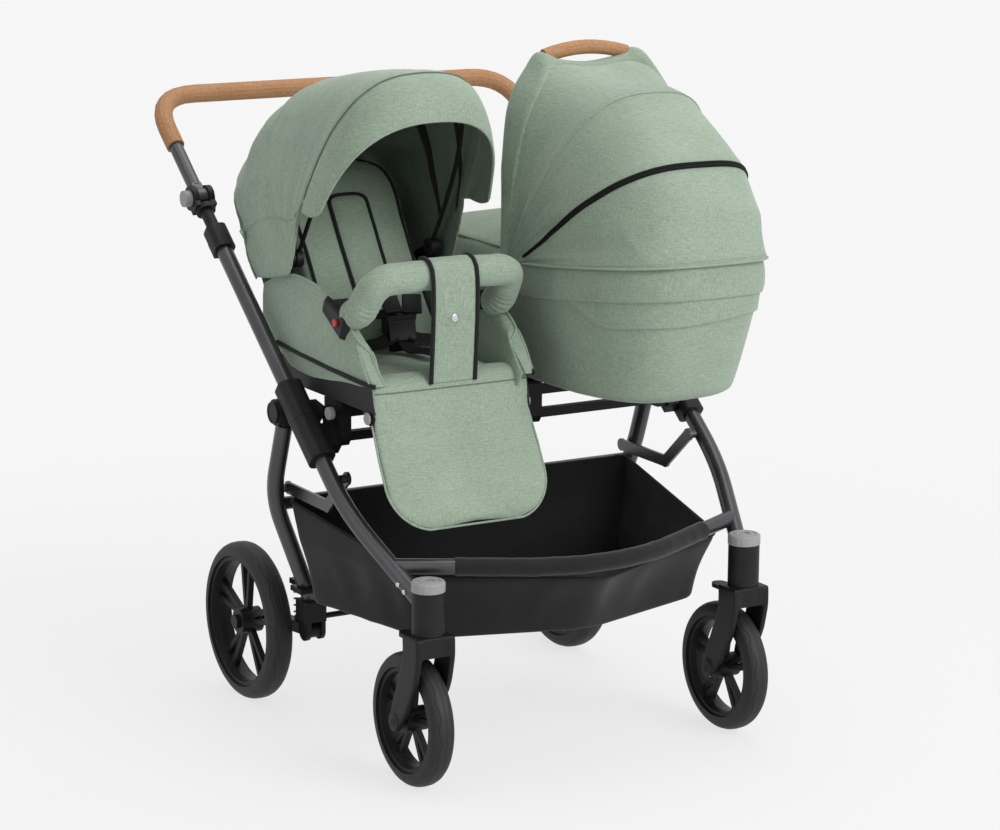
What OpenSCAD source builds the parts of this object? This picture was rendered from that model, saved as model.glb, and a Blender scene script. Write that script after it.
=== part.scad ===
// Side-by-side twin pram: folding chassis, pushchair seat and carrycot
// +X is the pram's left-hand side seen from the handle, -Y is the front, +Z is up, the ground is z = 0

/* [Wheels] */
// Diameter of a front wheel
front_wheel_d = 218; // [200:1:226]
// Width of a front tyre
front_tyre_w = 42; // [34:1:46]
// Diameter of a rear wheel
rear_wheel_d = 274; // [250:1:286]
// Width of a rear tyre
rear_tyre_w = 46; // [38:1:48]
// Height of the rubber above the rim
tyre_h = 23; // [17:1:28]
// Diameter of a front axle bolt
front_axle_d = 12; // [8:1:16]
// Diameter of a rear axle
rear_axle_d = 16; // [10:1:18]

/* [Chassis] */
// Distance of a side tube from the middle of the pram
side_x = 357; // [355:1:364]
// Diameter of the frame tubes
tube_d = 28; // [24:1:28]
// Slope of the side tubes
frame_slope = 39.4; // [38:0.1:41]
// Distance of a castor from the middle of the pram
castor_x = 300; // [294:1:304]
// Place of the castor axes along the pram
castor_y = -404; // [-410:1:-398]
// Distance of a front axle behind its castor axis
castor_trail = 48; // [40:1:54]
// Distance of a rear wheel from the middle of the pram
rear_wheel_x = 320; // [318:1:326]
// Place of the rear axles along the pram
rear_axle_y = 193; // [188:1:200]
// Diameter of the front crossbar
crossbar_d = 26; // [22:1:28]

/* [Handle] */
// Distance from the fold seam to the tilt hinge
tilt_at = 496; // [490:1:510]
// Distance from the fold seam to the grip's crossbar
grip_at = 738; // [720:1:745]
// Diameter of the handle's core tube
handle_d = 24; // [20:1:26]
// Diameter of the cork grip
cork_d = 32; // [29:1:34]

/* [Seat] */
// Distance of the seat's near side from the middle of the pram
seat_mid = 40; // [39:1:42]
// Length of the backrest
back_l = 345; // [320:1:360]
// Lean of the backrest above the horizontal
back_angle = 56; // [54:0.5:60]
// Thickness of the seat cushion
pad_h = 42; // [34:1:44]
// Length of the footrest
foot_l = 200; // [190:1:225]

/* [Carrycot] */
// Middle of the carrycot, across the pram
cot_x = 177; // [175:1:178]
// Half width of the carrycot at its rim
cot_a = 157; // [150:1:158]
// Half length of the carrycot at its rim
cot_b = 374; // [360:1:376]
// Height of the tub
cot_h = 195; // [180:1:200]
// Thickness of the tub's wall
cot_wall = 10; // [6:1:14]

/* [Hidden] */
$fn = 48;

// Clearances: still joint, running joint, moving neighbour
gap = 0.3;
fit = 0.05;
play = 0.5;

// Colours
graphite = [0.27, 0.27, 0.28];
black = [0.07, 0.07, 0.07];
grey = [0.62, 0.63, 0.63];
rubber = [0.1, 0.1, 0.1];
cork = [0.74, 0.53, 0.33];
sage = [0.55, 0.63, 0.55];
lining = [0.4, 0.46, 0.4];
steel = [0.75, 0.75, 0.76];
red = [0.7, 0.1, 0.08];

// Castors, from the ground up
front_axle_z = front_wheel_d / 2;
wheel_gap = 8;
crown_h = 35.7;
crown_z = front_wheel_d + wheel_gap;
housing_z = crown_z + crown_h + gap;
housing_h = 69;
housing_r = 26;
housing_top = housing_z + housing_h;
cap_h = 13;
stem_r = 9;
stem_l = 38;
fork_half = front_tyre_w / 2 + 4;
fork_t = 9;
hub_half = 20;

// Fold joint, in the plane of the side tubes: t runs up the tube, n stands off it
seam_y = -95;
seam_z = 548;
sleeve_w = 43;
sleeve_h = 40;
sleeve_up = 74;
sleeve_down = 81;
fold_n = sleeve_h / 2 + 0.5;
lug_t = 9.5;
lug_r = 9;
fold_pin_r = 4;
ear_t = 52;
ear_n = -36;
ear_r = 22;
eye_r = 15;
tongue_w = 16;

function along(t, n) = [seam_y + t * cos(frame_slope) - n * sin(frame_slope),
                        seam_z + t * sin(frame_slope) + n * cos(frame_slope)];
ear = along(ear_t, ear_n);

// Front tubes: straight on from the sleeve, then in to the castors
bend_t = -187;
bend_yz = along(bend_t, 0);
castor_z = housing_z + stem_l;
front_bend = [side_x, bend_yz[0], bend_yz[1]];
castor_point = [castor_x, castor_y, castor_z];
button_r = 8;
socket_wall = 2;
tube_climb = asin((front_bend[2] - castor_z) / norm(front_bend - castor_point));
tube_end = (button_r + gap + socket_wall + (tube_d / 2 + gap) * sin(tube_climb)) / cos(tube_climb);

// Rear legs: down from the ear, then in to the suspension blocks
leg_bend = [side_x, 22, 398];
leg_foot = [276, 38, 200];
cross_tube_yz = [25, 383];
cross_tube_d = 22;
basket_back = cross_tube_yz[0] - cross_tube_d / 2 - gap;
block_top = leg_foot[2] + 6;
block_half = 17;
block_out = 21;
arm_pivot_z = leg_foot[2] - 48;
arm_w = 19.4;
arm_pin_r = 5;
spring_y = 84;
spring_r = 11;
spring_wire = 3;
spring_turns = 4.5;
spring_z0 = 166;
spring_z1 = 222;
rear_axle_z = rear_wheel_d / 2;

// Folding links: pivot on the front tube, low corner, pivot on the rear leg
link_front = along(-123, 0);
link_low = [-122, 410];
link_rear = [17, 411];
link_x = 327;
link_t = 5;
link_pin_end = side_x - tube_d / 2 - 5;
link_w = 22;

// Seat: recline hinge, canopy hinge, footrest hinge, tray
back_y = 40;
back_z = 625;
foot_y = -263;
foot_z = 582;
foot_angle = 61.7;
canopy_hinge = [20, 795];
seat_room = 31;
seat_half = (side_x - seat_room - seat_mid) / 2;
seat_x = -seat_mid - seat_half;
seat_wall = 7;
bracket_top = 584;
tray_z = 590;
tray_h = 16;
tray_front = -248;
tray_back = 45;
pad_half = seat_half - 23;
back_half = seat_half - 9;
back_pad_half = back_half - 17;
back_pad_t = 95;
socket_y = -148;
socket_z = 735;
socket_r = 16;
bumper_r = 26;
bumper_y = -252;
bumper_z = 801;
red_r = 5;

// Carrycot: middle along the pram, bottom, hood hinge
cot_y = -119;
cot_z = bracket_top + gap;
rim_z = cot_z + cot_h;
hood_y = -115;
hood_wall = 4;

// Rounding of a polyline: each inner corner becomes a curve that starts and ends r away from it
function unit(v) = v / norm(v);
function curve(a, p, b, s) = (1 - s) * (1 - s) * a + 2 * s * (1 - s) * p + s * s * b;
function corner(prev, p, next, r, n) = let (a = p + r * unit(prev - p), b = p + r * unit(next - p))
    [for (k = [0 : n]) curve(a, p, b, k / n)];
function bend(p, r, n = 5) = concat([p[0]],
    [for (i = [1 : len(p) - 2]) each corner(p[i - 1], p[i], p[i + 1], r, n)], [p[len(p) - 1]]);
function loop(p, r, n = 3) = let (m = len(p))
    [for (i = [0 : m - 1]) each corner(p[(i + m - 1) % m], p[i], p[(i + 1) % m], r, n)];
function flip(p) = [for (q = p) [-q[0], q[1], q[2]]];

// Rings of points for tubes, tubs and arched shells
function heading(p, i) = unit(p[min(i + 1, len(p) - 1)] - p[max(i - 1, 0)]);
function circle_at(p, i, r, sides, ref) = let (t = heading(p, i), u = unit(cross(ref, t)), v = cross(t, u))
    [for (k = [0 : sides - 1]) p[i] + r * (cos(360 * k / sides) * u + sin(360 * k / sides) * v)];
function power(v, e) = sign(v) * pow(abs(v), e);
function oval(x, y, z, a, b, n, count = 40) = [for (k = [0 : count - 1]) let (t = 360 * k / count)
    [x + a * power(cos(t), 2 / n), y + b * power(sin(t), 2 / n), z]];
// An arch stands on a base point and rises to an apex: w is its half width, n its squareness
function arch(x, s, inset, count) = let (base = [s[0], s[1]], rise = [s[2], s[3]] - base, w = s[4] - inset,
        top = base + rise * (1 - inset / norm(rise)))
    [for (k = [0 : count]) let (t = 180 * k / count, h = pow(sin(t), 2 / s[5]))
        [x + w * power(cos(t), 2 / s[5]), base[0] + (top[0] - base[0]) * h, base[1] + (top[1] - base[1]) * h]];
function reverse(p) = [for (i = [len(p) - 1 : -1 : 0]) p[i]];
function arch_band(x, s, wall, count) = concat(arch(x, s, 0, count), reverse(arch(x, s, wall, count)));

// Closed skin over rings of equal length; ends are fans, strips (for bands) or joined to each other
module skin(rings, ends = "fan") {
    n = len(rings[0]);
    m = len(rings);
    last = (m - 1) * n;
    turns = ends == "joined" ? m - 1 : m - 2;
    walls = [for (j = [0 : turns]) for (k = [0 : n - 1])
        let (a = j * n + k, b = j * n + (k + 1) % n, c = (a + n) % (m * n), d = (b + n) % (m * n))
        each [[a, c, b], [b, c, d]]];
    fans = [for (k = [1 : n - 2]) each [[0, k, k + 1], [last, last + k + 1, last + k]]];
    strips = [for (k = [0 : n / 2 - 2]) let (b = n - 1 - k)
        each [[k, k + 1, b], [k + 1, b - 1, b], [last + k + 1, last + k, last + b],
              [last + b - 1, last + k + 1, last + b]]];
    caps = ends == "fan" ? fans : ends == "strip" ? strips : [];
    polyhedron([for (r = rings) each r], concat(walls, caps), convexity = 8);
}

module tube(p, r, sides = 14, ref = [0, 0, 1]) {
    skin([for (i = [0 : len(p) - 1]) circle_at(p, i, r, sides, ref)]);
}

module hollow_tube(p, r_out, r_in, sides = 14, ref = [0, 0, 1]) {
    m = len(p) - 1;
    skin(concat([for (i = [0 : m]) circle_at(p, i, r_out, sides, ref)],
                [for (i = [m : -1 : 0]) circle_at(p, i, r_in, sides, ref)]), "joined");
}

module both() {
    children();
    mirror([1, 0, 0]) children();
}

// Frame of the right-hand side tube: Y runs up the tube from the seam
module on_tube(t = 0, n = 0) {
    translate([side_x, seam_y, seam_z]) rotate([frame_slope, 0, 0]) translate([0, t, n]) children();
}

// A cylinder along X from x0 to x1
module cross_pin(x0, x1, r) {
    translate([x0, 0, 0]) rotate([0, 90, 0]) cylinder(h = x1 - x0, r = r);
}

// A plate in the YZ plane from x0 to x1
module side_plate(x0, x1) {
    translate([x0, 0, 0]) rotate([90, 0, 90]) linear_extrude(x1 - x0) children();
}

module rounded(w, h, r) {
    square([w - 2 * r, h], center = true);
    square([w, h - 2 * r], center = true);
    for (x = [-1, 1], y = [-1, 1]) translate([x * (w / 2 - r), y * (h / 2 - r)]) circle(r);
}

module sleeve(t0, t1) {
    translate([0, t0, 0]) rotate([-90, 0, 0]) linear_extrude(t1 - t0) rounded(sleeve_w, sleeve_h, 14);
}

module tube_bore(t0, t1, r) {
    translate([0, t0, 0]) rotate([-90, 0, 0]) cylinder(h = t1 - t0, r = r);
}

// Front of the chassis
front_path = bend([concat(side_x, along(-8, 0)), front_bend,
    castor_point + tube_end * unit(front_bend - castor_point)], 60);

module front_tube(grow = 0) {
    tube(front_path, tube_d / 2 + grow, 16, [1, 0, 0]);
}

module front_tubes() {
    color(graphite) both() front_tube();
}

weld = front_bend + 0.56 * (castor_point - front_bend);
bow_tip = [0, -487, weld[2] - 8];
bow_path = bend([weld, bow_tip, flip([weld])[0]], 165, 8);

module front_crossbar() {
    color(graphite) difference() {
        tube(bow_path, crossbar_d / 2, 16);
        both() front_tube(gap);
    }
}

// Lower half of the fold joint, with the hinge lug and its pin on the inner side
lower_lug_x = -sleeve_w / 2 - 2 * lug_t - play;
upper_lug_x = -sleeve_w / 2 - lug_t;
bracket_x = side_x + lower_lug_x - gap;

module lower_sleeve() {
    difference() {
        union() {
            sleeve(-sleeve_down, -gap);
            side_plate(lower_lug_x, -sleeve_w / 2 + 1)
                polygon([[-62, -12], [-16, -12], [-16, 12], [-62, 12]]);
            side_plate(lower_lug_x, lower_lug_x + lug_t) {
                translate([0, fold_n]) circle(lug_r);
                polygon([[-62, -12], [-16, -12], [8, fold_n - 5], [-4, fold_n + 8], [-62, 12]]);
            }
        }
        tube_bore(-sleeve_down - 1, -6, tube_d / 2 + gap / 2);
    }
    translate([0, 0, fold_n]) cross_pin(lower_lug_x, -sleeve_w / 2, fold_pin_r - fit);
}

module joint_lower_sleeves() {
    color(black) both() on_tube() lower_sleeve();
}

// Two rails between the brackets, through the centre console
rail_low = [-124, 524];
rail_high = [-132, 566];
rail_w = 16;
rail_h = 15;
bracket_w = 17;
console_half = 62;
bracket_low = 512;

module rail(at, grow, x) {
    translate([0, at[0], at[1]]) cube([2 * x, rail_w + 2 * grow, rail_h + 2 * grow], center = true);
}

module cross_rails() {
    color(black) {
        rail(rail_low, 0, bracket_x - bracket_w - gap);
        rail(rail_high, 0, bracket_x - bracket_w - gap);
    }
}

module bracket_outline() {
    polygon([[-148, bracket_low + 12], [-140, bracket_low], [-108, bracket_low], [-88, 548],
        [-86, bracket_top], [-146, bracket_top], [-148, bracket_top - 4]]);
}

module seat_brackets() {
    color(black) {
        both() side_plate(bracket_x - bracket_w, bracket_x) bracket_outline();
        difference() {
            side_plate(-console_half, console_half) bracket_outline();
            rail(rail_low, gap, console_half + 1);
            rail(rail_high, gap, console_half + 1);
        }
    }
}

// Castor housings, the fluted caps on them and the push buttons in the caps
button_drop = 3;
recess = button_drop + 2;

module at_castor(z = 0) {
    translate([castor_x, castor_y, z]) children();
}

module socket(from, to, r) {
    d = to - from;
    translate(from) rotate([0, acos(d[2] / norm(d)), atan2(d[1], d[0])]) rotate(90) cylinder(h = norm(d), r = r);
}

module castor_housing() {
    difference() {
        at_castor(housing_z) cylinder(h = housing_h, r = housing_r);
        at_castor(housing_z - 1) cylinder(h = stem_l + 1, r = stem_r);
        at_castor(housing_top - recess) cylinder(h = recess + 1, r = button_r + gap);
        socket(castor_point + (tube_end - gap) * unit(front_bend - castor_point),
               castor_point + 90 * unit(front_bend - castor_point), tube_d / 2 + gap);
    }
}

module castor_housings() {
    color(black) both() castor_housing();
}

module castor_cap() {
    flutes = 20;
    difference() {
        at_castor(housing_top + gap) cylinder(h = cap_h, r = housing_r + 1);
        at_castor(housing_top) cylinder(h = cap_h + 1, r = button_r + gap);
        for (k = [0 : flutes - 1]) at_castor(housing_top) rotate(360 * k / flutes)
            translate([housing_r + 2.4, 0, 0]) cylinder(h = cap_h - 3, r = 2.4);
        socket(castor_point, castor_point + 90 * unit(front_bend - castor_point), tube_d / 2 + 2 * gap);
    }
}

module castor_caps() {
    color(grey) both() castor_cap();
}

module castor_button() {
    color(grey) at_castor(housing_top - 1) cylinder(h = cap_h + 4, r = button_r);
}

// Basket: a cloth tub from the front crossbar to the rear cross tube, sagging between them
basket_half = side_x - 23;
basket_top = [[basket_half, basket_back, cross_tube_yz[1] + 8], [-basket_half, basket_back, cross_tube_yz[1] + 8], [70 - side_x, -345, 336], [0, -452, 322], [side_x - 70, -345, 336]];
basket_mid = [[basket_half - 14, 6, 296], [14 - basket_half, 6, 296], [-278, -334, 286], [0, -430, 280], [278, -334, 286]];
basket_low = [[292, 0, 224], [-292, 0, 224], [-262, -322, 230], [0, -404, 228], [262, -322, 230]];
basket_sag = 8;
basket_wall = 5;
function shift(p, by) = [for (q = p) q + by];
function shrink(p, wall) = [for (q = p) [q[0] - wall * sign(q[0]), q[1] + (q[1] > -100 ? -wall : wall), q[2]]];

module basket() {
    color(black) skin([
        loop(shift(shrink(basket_low, 90), [0, 0, -basket_sag]), 60),
        loop(basket_low, 40), loop(basket_mid, 40), loop(basket_top, 40),
        loop(shrink(basket_top, basket_wall), 40), loop(shrink(basket_mid, basket_wall), 40),
        loop(shift(shrink(basket_low, basket_wall), [0, 0, basket_wall]), 40),
        loop(shift(shrink(basket_low, 90), [0, 0, basket_wall - basket_sag]), 60)]);
}

// Castor fork: stem, crown, two legs and the axle bolt, all turning on the castor axis
module fork_leg() {
    polygon([[-24, crown_h], [24, crown_h], [30, crown_h - 10], [castor_trail + 14, front_axle_z - crown_z + 6],
        [castor_trail + 10, front_axle_z - crown_z - 12], [castor_trail - 8, front_axle_z - crown_z - 14],
        [castor_trail - 16, front_axle_z - crown_z + 4], [-8, -20], [-26, 12]]);
}

lever_y = 34;
lever_z = 18;
lever_pin_r = 3;
lever_half = 14;
lever_ear = 4.5;

module castor_fork() {
    color(black) at_castor(crown_z) {
        cylinder(h = crown_h + stem_l, r = stem_r - fit);
        difference() {
            union() {
                cylinder(h = crown_h, r = 27);
                translate([-fork_half - fork_t, -22, 0]) cube([2 * (fork_half + fork_t), 44, crown_h]);
                for (x = [-fork_half - fork_t, fork_half]) side_plate(x, x + fork_t) fork_leg();
            }
            translate([-fork_half, -60, -2 * front_wheel_d]) cube([2 * fork_half, 200, 2 * front_wheel_d]);
            translate([-lever_half - play, lever_y - 14, -1]) cube([2 * (lever_half + play), 30, crown_h + 2]);
        }
        for (k = [0, 1]) mirror([k, 0, 0]) {
            side_plate(lever_half + play, lever_half + play + lever_ear) {
                translate([lever_y, lever_z]) circle(8);
                polygon([[8, 4], [lever_y, lever_z - 8], [lever_y, lever_z + 8], [8, 32]]);
            }
            translate([0, lever_y, lever_z]) cross_pin(lever_half - 4, lever_half + play + 1, lever_pin_r - fit);
        }
        translate([0, castor_trail, front_axle_z - crown_z]) {
            cross_pin(-fork_half - fork_t - 4, fork_half + fork_t + 4, front_axle_d / 2 - fit);
            for (x = [-fork_half - fork_t - 6, fork_half + fork_t]) cross_pin(x, x + 6, front_axle_d / 2 + 3);
        }
    }
}

// Swivel-lock lever: a paddle that lifts on a pin behind the crown
module swivel_lever() {
    color(black) at_castor(crown_z) translate([0, lever_y, lever_z]) difference() {
        union() {
            cross_pin(-lever_half, lever_half, 5.5);
            translate([-lever_half + 1, 0, -3]) cube([2 * lever_half - 2, 34, 7]);
            translate([0, 34, -3]) cylinder(h = 7, r = lever_half - 1);
        }
        for (k = [0, 1]) mirror([k, 0, 0]) cross_pin(lever_half - 5, lever_half + 1, lever_pin_r);
    }
}

// Wheels turn on X
module at_front_wheel() {
    translate([castor_x, castor_y + castor_trail, front_axle_z]) rotate([0, 90, 0]) children();
}

module at_rear_wheel() {
    translate([rear_wheel_x, rear_axle_y, rear_axle_z]) rotate([0, 90, 0]) children();
}

module tyre(d, w) {
    inner = d / 2 - tyre_h;
    rotate_extrude($fn = 96) polygon([for (t = [-90 : 15 : 90])
        [inner + tyre_h * pow(abs(cos(t)), 2 / 2.6), w / 2 * power(sin(t), 2 / 2.6)]]);
}

module rim(d, w, bore, spokes) {
    outer = d / 2 - tyre_h - gap;
    lip = 7;
    spoke_w = 8;
    spoke_t = 10;
    splay = 8;
    difference() {
        union() {
            rotate_extrude($fn = 96) polygon([[outer, -w / 2 + 4], [outer, w / 2 - 4], [outer - lip, w / 2 - 4],
                [outer - lip - 3, 6], [outer - lip - 3, -6], [outer - lip, -w / 2 + 4]]);
            translate([0, 0, -hub_half]) cylinder(h = 2 * hub_half, r = bore + 14);
            translate([0, 0, -spoke_t / 2]) linear_extrude(spoke_t)
                for (k = [0 : spokes - 1], s = [-1, 1]) rotate(360 * (k + 0.5) / spokes + s * splay)
                    translate([bore + 8, -spoke_w / 2]) square([outer - lip - bore - 9, spoke_w]);
        }
        translate([0, 0, -hub_half - 1]) cylinder(h = 2 * hub_half + 2, r = bore);
    }
}

module front_tyre() {
    color(rubber) at_front_wheel() tyre(front_wheel_d, front_tyre_w);
}

module front_rim() {
    color(black) at_front_wheel() rim(front_wheel_d, front_tyre_w, front_axle_d / 2, 5);
}

module rear_tyre() {
    color(rubber) at_rear_wheel() tyre(rear_wheel_d, rear_tyre_w);
}

module rear_rim() {
    color(black) at_rear_wheel() rim(rear_wheel_d, rear_tyre_w, rear_axle_d / 2, 5);
}

// Upper part of the chassis: hollow side tubes, fold sleeves with the ears, collars
collar_at = 374;
collar_l = 48;
collar_w = 37;
slide_d = tube_d - 6;
slide_in = 30;
slide_out = 90;
slide_start = 290;
tube_top = collar_at + 26;

module side_tubes() {
    color(graphite) both() on_tube() difference() {
        tube_bore(6, tube_top, tube_d / 2);
        tube_bore(slide_start - slide_in - 5, tube_top + 1, slide_d / 2 + fit);
    }
}

module upper_sleeve() {
    slot_x = -tongue_w / 2 - play;
    difference() {
        union() {
            sleeve(gap, sleeve_up);
            translate([0, ear_t, ear_n]) cross_pin(-sleeve_w / 2, sleeve_w / 2, ear_r);
            side_plate(upper_lug_x, -sleeve_w / 2 - play) {
                translate([0, fold_n]) circle(lug_r);
                polygon([[1, -12], [34, -12], [34, 12], [4, fold_n + 8], [-4, fold_n - 5]]);
            }
            side_plate(upper_lug_x, -sleeve_w / 2 + 1) polygon([[1, -12], [34, -12], [34, 12], [1, 12]]);
        }
        tube_bore(5, sleeve_up + 1, tube_d / 2 + gap / 2);
        translate([0, 0, fold_n]) cross_pin(upper_lug_x - 1, -sleeve_w / 2 + 2, fold_pin_r);
        translate([0, ear_t, ear_n]) cross_pin(slot_x, -slot_x, eye_r + play);
        translate([slot_x, ear_t - 60, ear_n - 60]) cube([-2 * slot_x, 120, 60 - ear_n - sleeve_h / 2 - play]);
    }
    translate([0, ear_t, ear_n]) cross_pin(slot_x - 1, 1 - slot_x, fold_pin_r - fit);
}

module joint_upper_sleeves() {
    color(black) both() on_tube() upper_sleeve();
}

disc_t = 5;

module joint_discs() {
    color(black) both() on_tube(ear_t, ear_n) difference() {
        cross_pin(sleeve_w / 2 + gap, sleeve_w / 2 + gap + disc_t, ear_r - 4);
        cross_pin(sleeve_w / 2 + gap + disc_t - 1, sleeve_w / 2 + gap + disc_t + 1, ear_r - 6);
    }
}

module slide_collars() {
    color(black) both() on_tube() difference() {
        union() {
            translate([0, collar_at, 0]) rotate([-90, 0, 0]) linear_extrude(collar_l)
                rounded(collar_w, collar_w, 13);
            translate([-8, collar_at + 8, -collar_w / 2 - 9]) cube([16, collar_l - 16, 14]);
        }
        tube_bore(collar_at - 1, tube_top + gap, tube_d / 2 + gap / 2);
        tube_bore(collar_at - 1, collar_at + collar_l + 1, slide_d / 2 + fit);
    }
}

// Handle: slide tubes with the tilt knuckles, bent bar, cork grips, band and tilt buttons
knuckle_r = 21;
cheek_t = 9.7;
tilt_tongue = 18;
tilt_pin_r = 5;
cheek_in = tilt_tongue / 2 + gap;
cheek_out = cheek_in + cheek_t;
tilt_button_r = 14;
tilt_push = 4;

module handle_slider() {
    difference() {
        union() {
            tube_bore(slide_start, tilt_at - knuckle_r - 3, slide_d / 2 - fit / 2);
            translate([0, tilt_at - knuckle_r - 12, 0]) rotate([-90, 0, 0]) cylinder(h = 10, r = 17);
            translate([0, tilt_at, 0]) for (s = [-1, 1]) mirror([s < 0 ? 1 : 0, 0, 0]) {
                cross_pin(cheek_in, cheek_out, knuckle_r);
                translate([cheek_in, -knuckle_r - 6, -13]) cube([cheek_t, knuckle_r, 26]);
            }
        }
        translate([0, tilt_at, 0]) cross_pin(cheek_out - tilt_push - 0.7, cheek_out + 1, tilt_button_r + gap);
    }
    translate([0, tilt_at, 0]) cross_pin(-cheek_in - 1, cheek_in + 1, tilt_pin_r - fit);
}

module handle_sliders() {
    color(black) both() on_tube() handle_slider();
}

grip_corner = 80;
cork_from = 617;
band_half = 12.5;
function in_handle(p) = [for (q = p) concat(q[0], along(q[1], 0))];
handle_path = in_handle(bend([[side_x, tilt_at + knuckle_r + 2], [side_x, grip_at], [-side_x, grip_at],
    [-side_x, tilt_at + knuckle_r + 2]], grip_corner, 8));
cork_path = in_handle(bend([[side_x, cork_from], [side_x, grip_at], [band_half + gap, grip_at]], grip_corner, 8));
handle_up = [0, -sin(frame_slope), cos(frame_slope)];

module handle_bar() {
    color(graphite) {
        tube(handle_path, handle_d / 2, 14, handle_up);
        both() on_tube(tilt_at) difference() {
            union() {
                cross_pin(-tilt_tongue / 2, tilt_tongue / 2, knuckle_r - 4);
                translate([-tilt_tongue / 2, 0, -11]) cube([tilt_tongue, 26, 22]);
            }
            cross_pin(-tilt_tongue, tilt_tongue, tilt_pin_r);
        }
    }
}

module cork_grips() {
    color(cork) both() hollow_tube(cork_path, cork_d / 2, handle_d / 2 + gap, 14, handle_up);
}

module grip_band() {
    color(black) translate([0, along(grip_at, 0)[0], along(grip_at, 0)[1]]) difference() {
        cross_pin(-band_half, band_half, cork_d / 2 - 0.5);
        cross_pin(-band_half - 1, band_half + 1, handle_d / 2 + gap);
    }
}

module tilt_button() {
    color(grey) on_tube(tilt_at) cross_pin(cheek_out - play, cheek_out + 12, tilt_button_r);
}

// Rear of the chassis
leg_dir = unit(leg_bend - concat(side_x, ear));
leg_top = concat(side_x, ear) + (ear_r + 3) * leg_dir;
leg_path = bend([leg_top, leg_bend, leg_foot], 50);
leg_tilt = atan2(leg_dir[2], leg_dir[1]);

module rear_leg_tube(grow = 0) {
    tube(leg_path, tube_d / 2 + grow, 16, [1, 0, 0]);
}

module rear_legs() {
    color(graphite) both() {
        rear_leg_tube();
        translate(concat(side_x, ear)) rotate([leg_tilt, 0, 0]) difference() {
            union() {
                cross_pin(-tongue_w / 2, tongue_w / 2, eye_r - 0.5);
                translate([-tongue_w / 2, 0, -11]) cube([tongue_w, ear_r + 8, 22]);
            }
            cross_pin(-tongue_w, tongue_w, fold_pin_r);
        }
    }
}

module rear_cross_tube() {
    color(graphite) difference() {
        translate([0, cross_tube_yz[0], cross_tube_yz[1]]) cross_pin(-side_x, side_x, cross_tube_d / 2);
        both() rear_leg_tube(gap);
        both() translate([side_x - tube_d / 2, cross_tube_yz[0] - 20, cross_tube_yz[1] - 20]) cube(40);
    }
}

// Suspension block: foot of the leg, cheeks for the swing arm, and a ring on the leg that holds the spring
foot_dir = unit(leg_bend - leg_foot);
ring_z = spring_z1 + gap;
ring_h = 9;
brake_y = 28;
brake_z = 177;
brake_r = 5;

module suspension_block() {
    difference() {
        union() {
            translate([leg_foot[0] - block_half, 18, arm_pivot_z + 18])
                cube([block_half + block_out, 40, block_top - arm_pivot_z - 18]);
            translate([leg_foot[0], leg_foot[1], arm_pivot_z]) {
                cross_pin(-block_half, block_half, 17);
                translate([-block_half, -17, 0]) cube([2 * block_half, 34, 20]);
            }
        }
        socket(leg_foot - gap * foot_dir, leg_foot + 60 * foot_dir, tube_d / 2 + gap);
        translate([leg_foot[0] - arm_w / 2 - gap, -20, arm_pivot_z - 30]) cube([arm_w + 2 * gap, 120, 48]);
        translate([0, brake_y, brake_z]) cross_pin(leg_foot[0] - block_half - 1, leg_foot[0] - block_half + 8, brake_r);
    }
    translate([leg_foot[0], leg_foot[1], arm_pivot_z]) cross_pin(-arm_w / 2 - 1, arm_w / 2 + 1, arm_pin_r - fit);
    ring_at = leg_foot + (ring_z - leg_foot[2]) / foot_dir[2] * foot_dir;
    ring_r = tube_d / 2 + 5;
    difference() {
        union() {
            translate([leg_foot[0] - spring_r - 2, ring_at[1] - ring_r, ring_z])
                cube([ring_at[0] + ring_r + 4 - leg_foot[0] + spring_r + 2, 2 * ring_r, ring_h]);
            translate([leg_foot[0] - spring_r - 2, ring_at[1], ring_z])
                cube([2 * spring_r + 4, spring_y + spring_r + 2 - ring_at[1], ring_h]);
        }
        socket(leg_foot, leg_foot + 60 * foot_dir, tube_d / 2 + gap);
    }
}

module suspension_blocks() {
    color(black) both() suspension_block();
}

// Coil spring: one tube wound from the swing arm up to the ring, its ends cut square
coil_r = spring_r - spring_wire / 2;
coil_rings = 8;
coil_low = spring_z0 + spring_wire / 2 + gap;
coil_pitch = (spring_z1 - spring_z0 - spring_wire - 2 * gap) / spring_turns;
coil_path = [for (k = [0 : spring_turns * coil_rings]) let (a = 360 * k / coil_rings)
    [leg_foot[0] + coil_r * cos(a), spring_y + coil_r * sin(a), coil_low + coil_pitch * k / coil_rings]];
coil_gap = min([for (i = [0 : len(coil_path) - 1]) for (j = [i + coil_rings / 2 : 1 : len(coil_path) - 1])
    norm(coil_path[j] - coil_path[i])]) - spring_wire;
echo(least_gap_between_spring_turns = coil_gap);

module suspension_spring() {
    color(steel) tube(coil_path, spring_wire / 2, 6);
}

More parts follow.
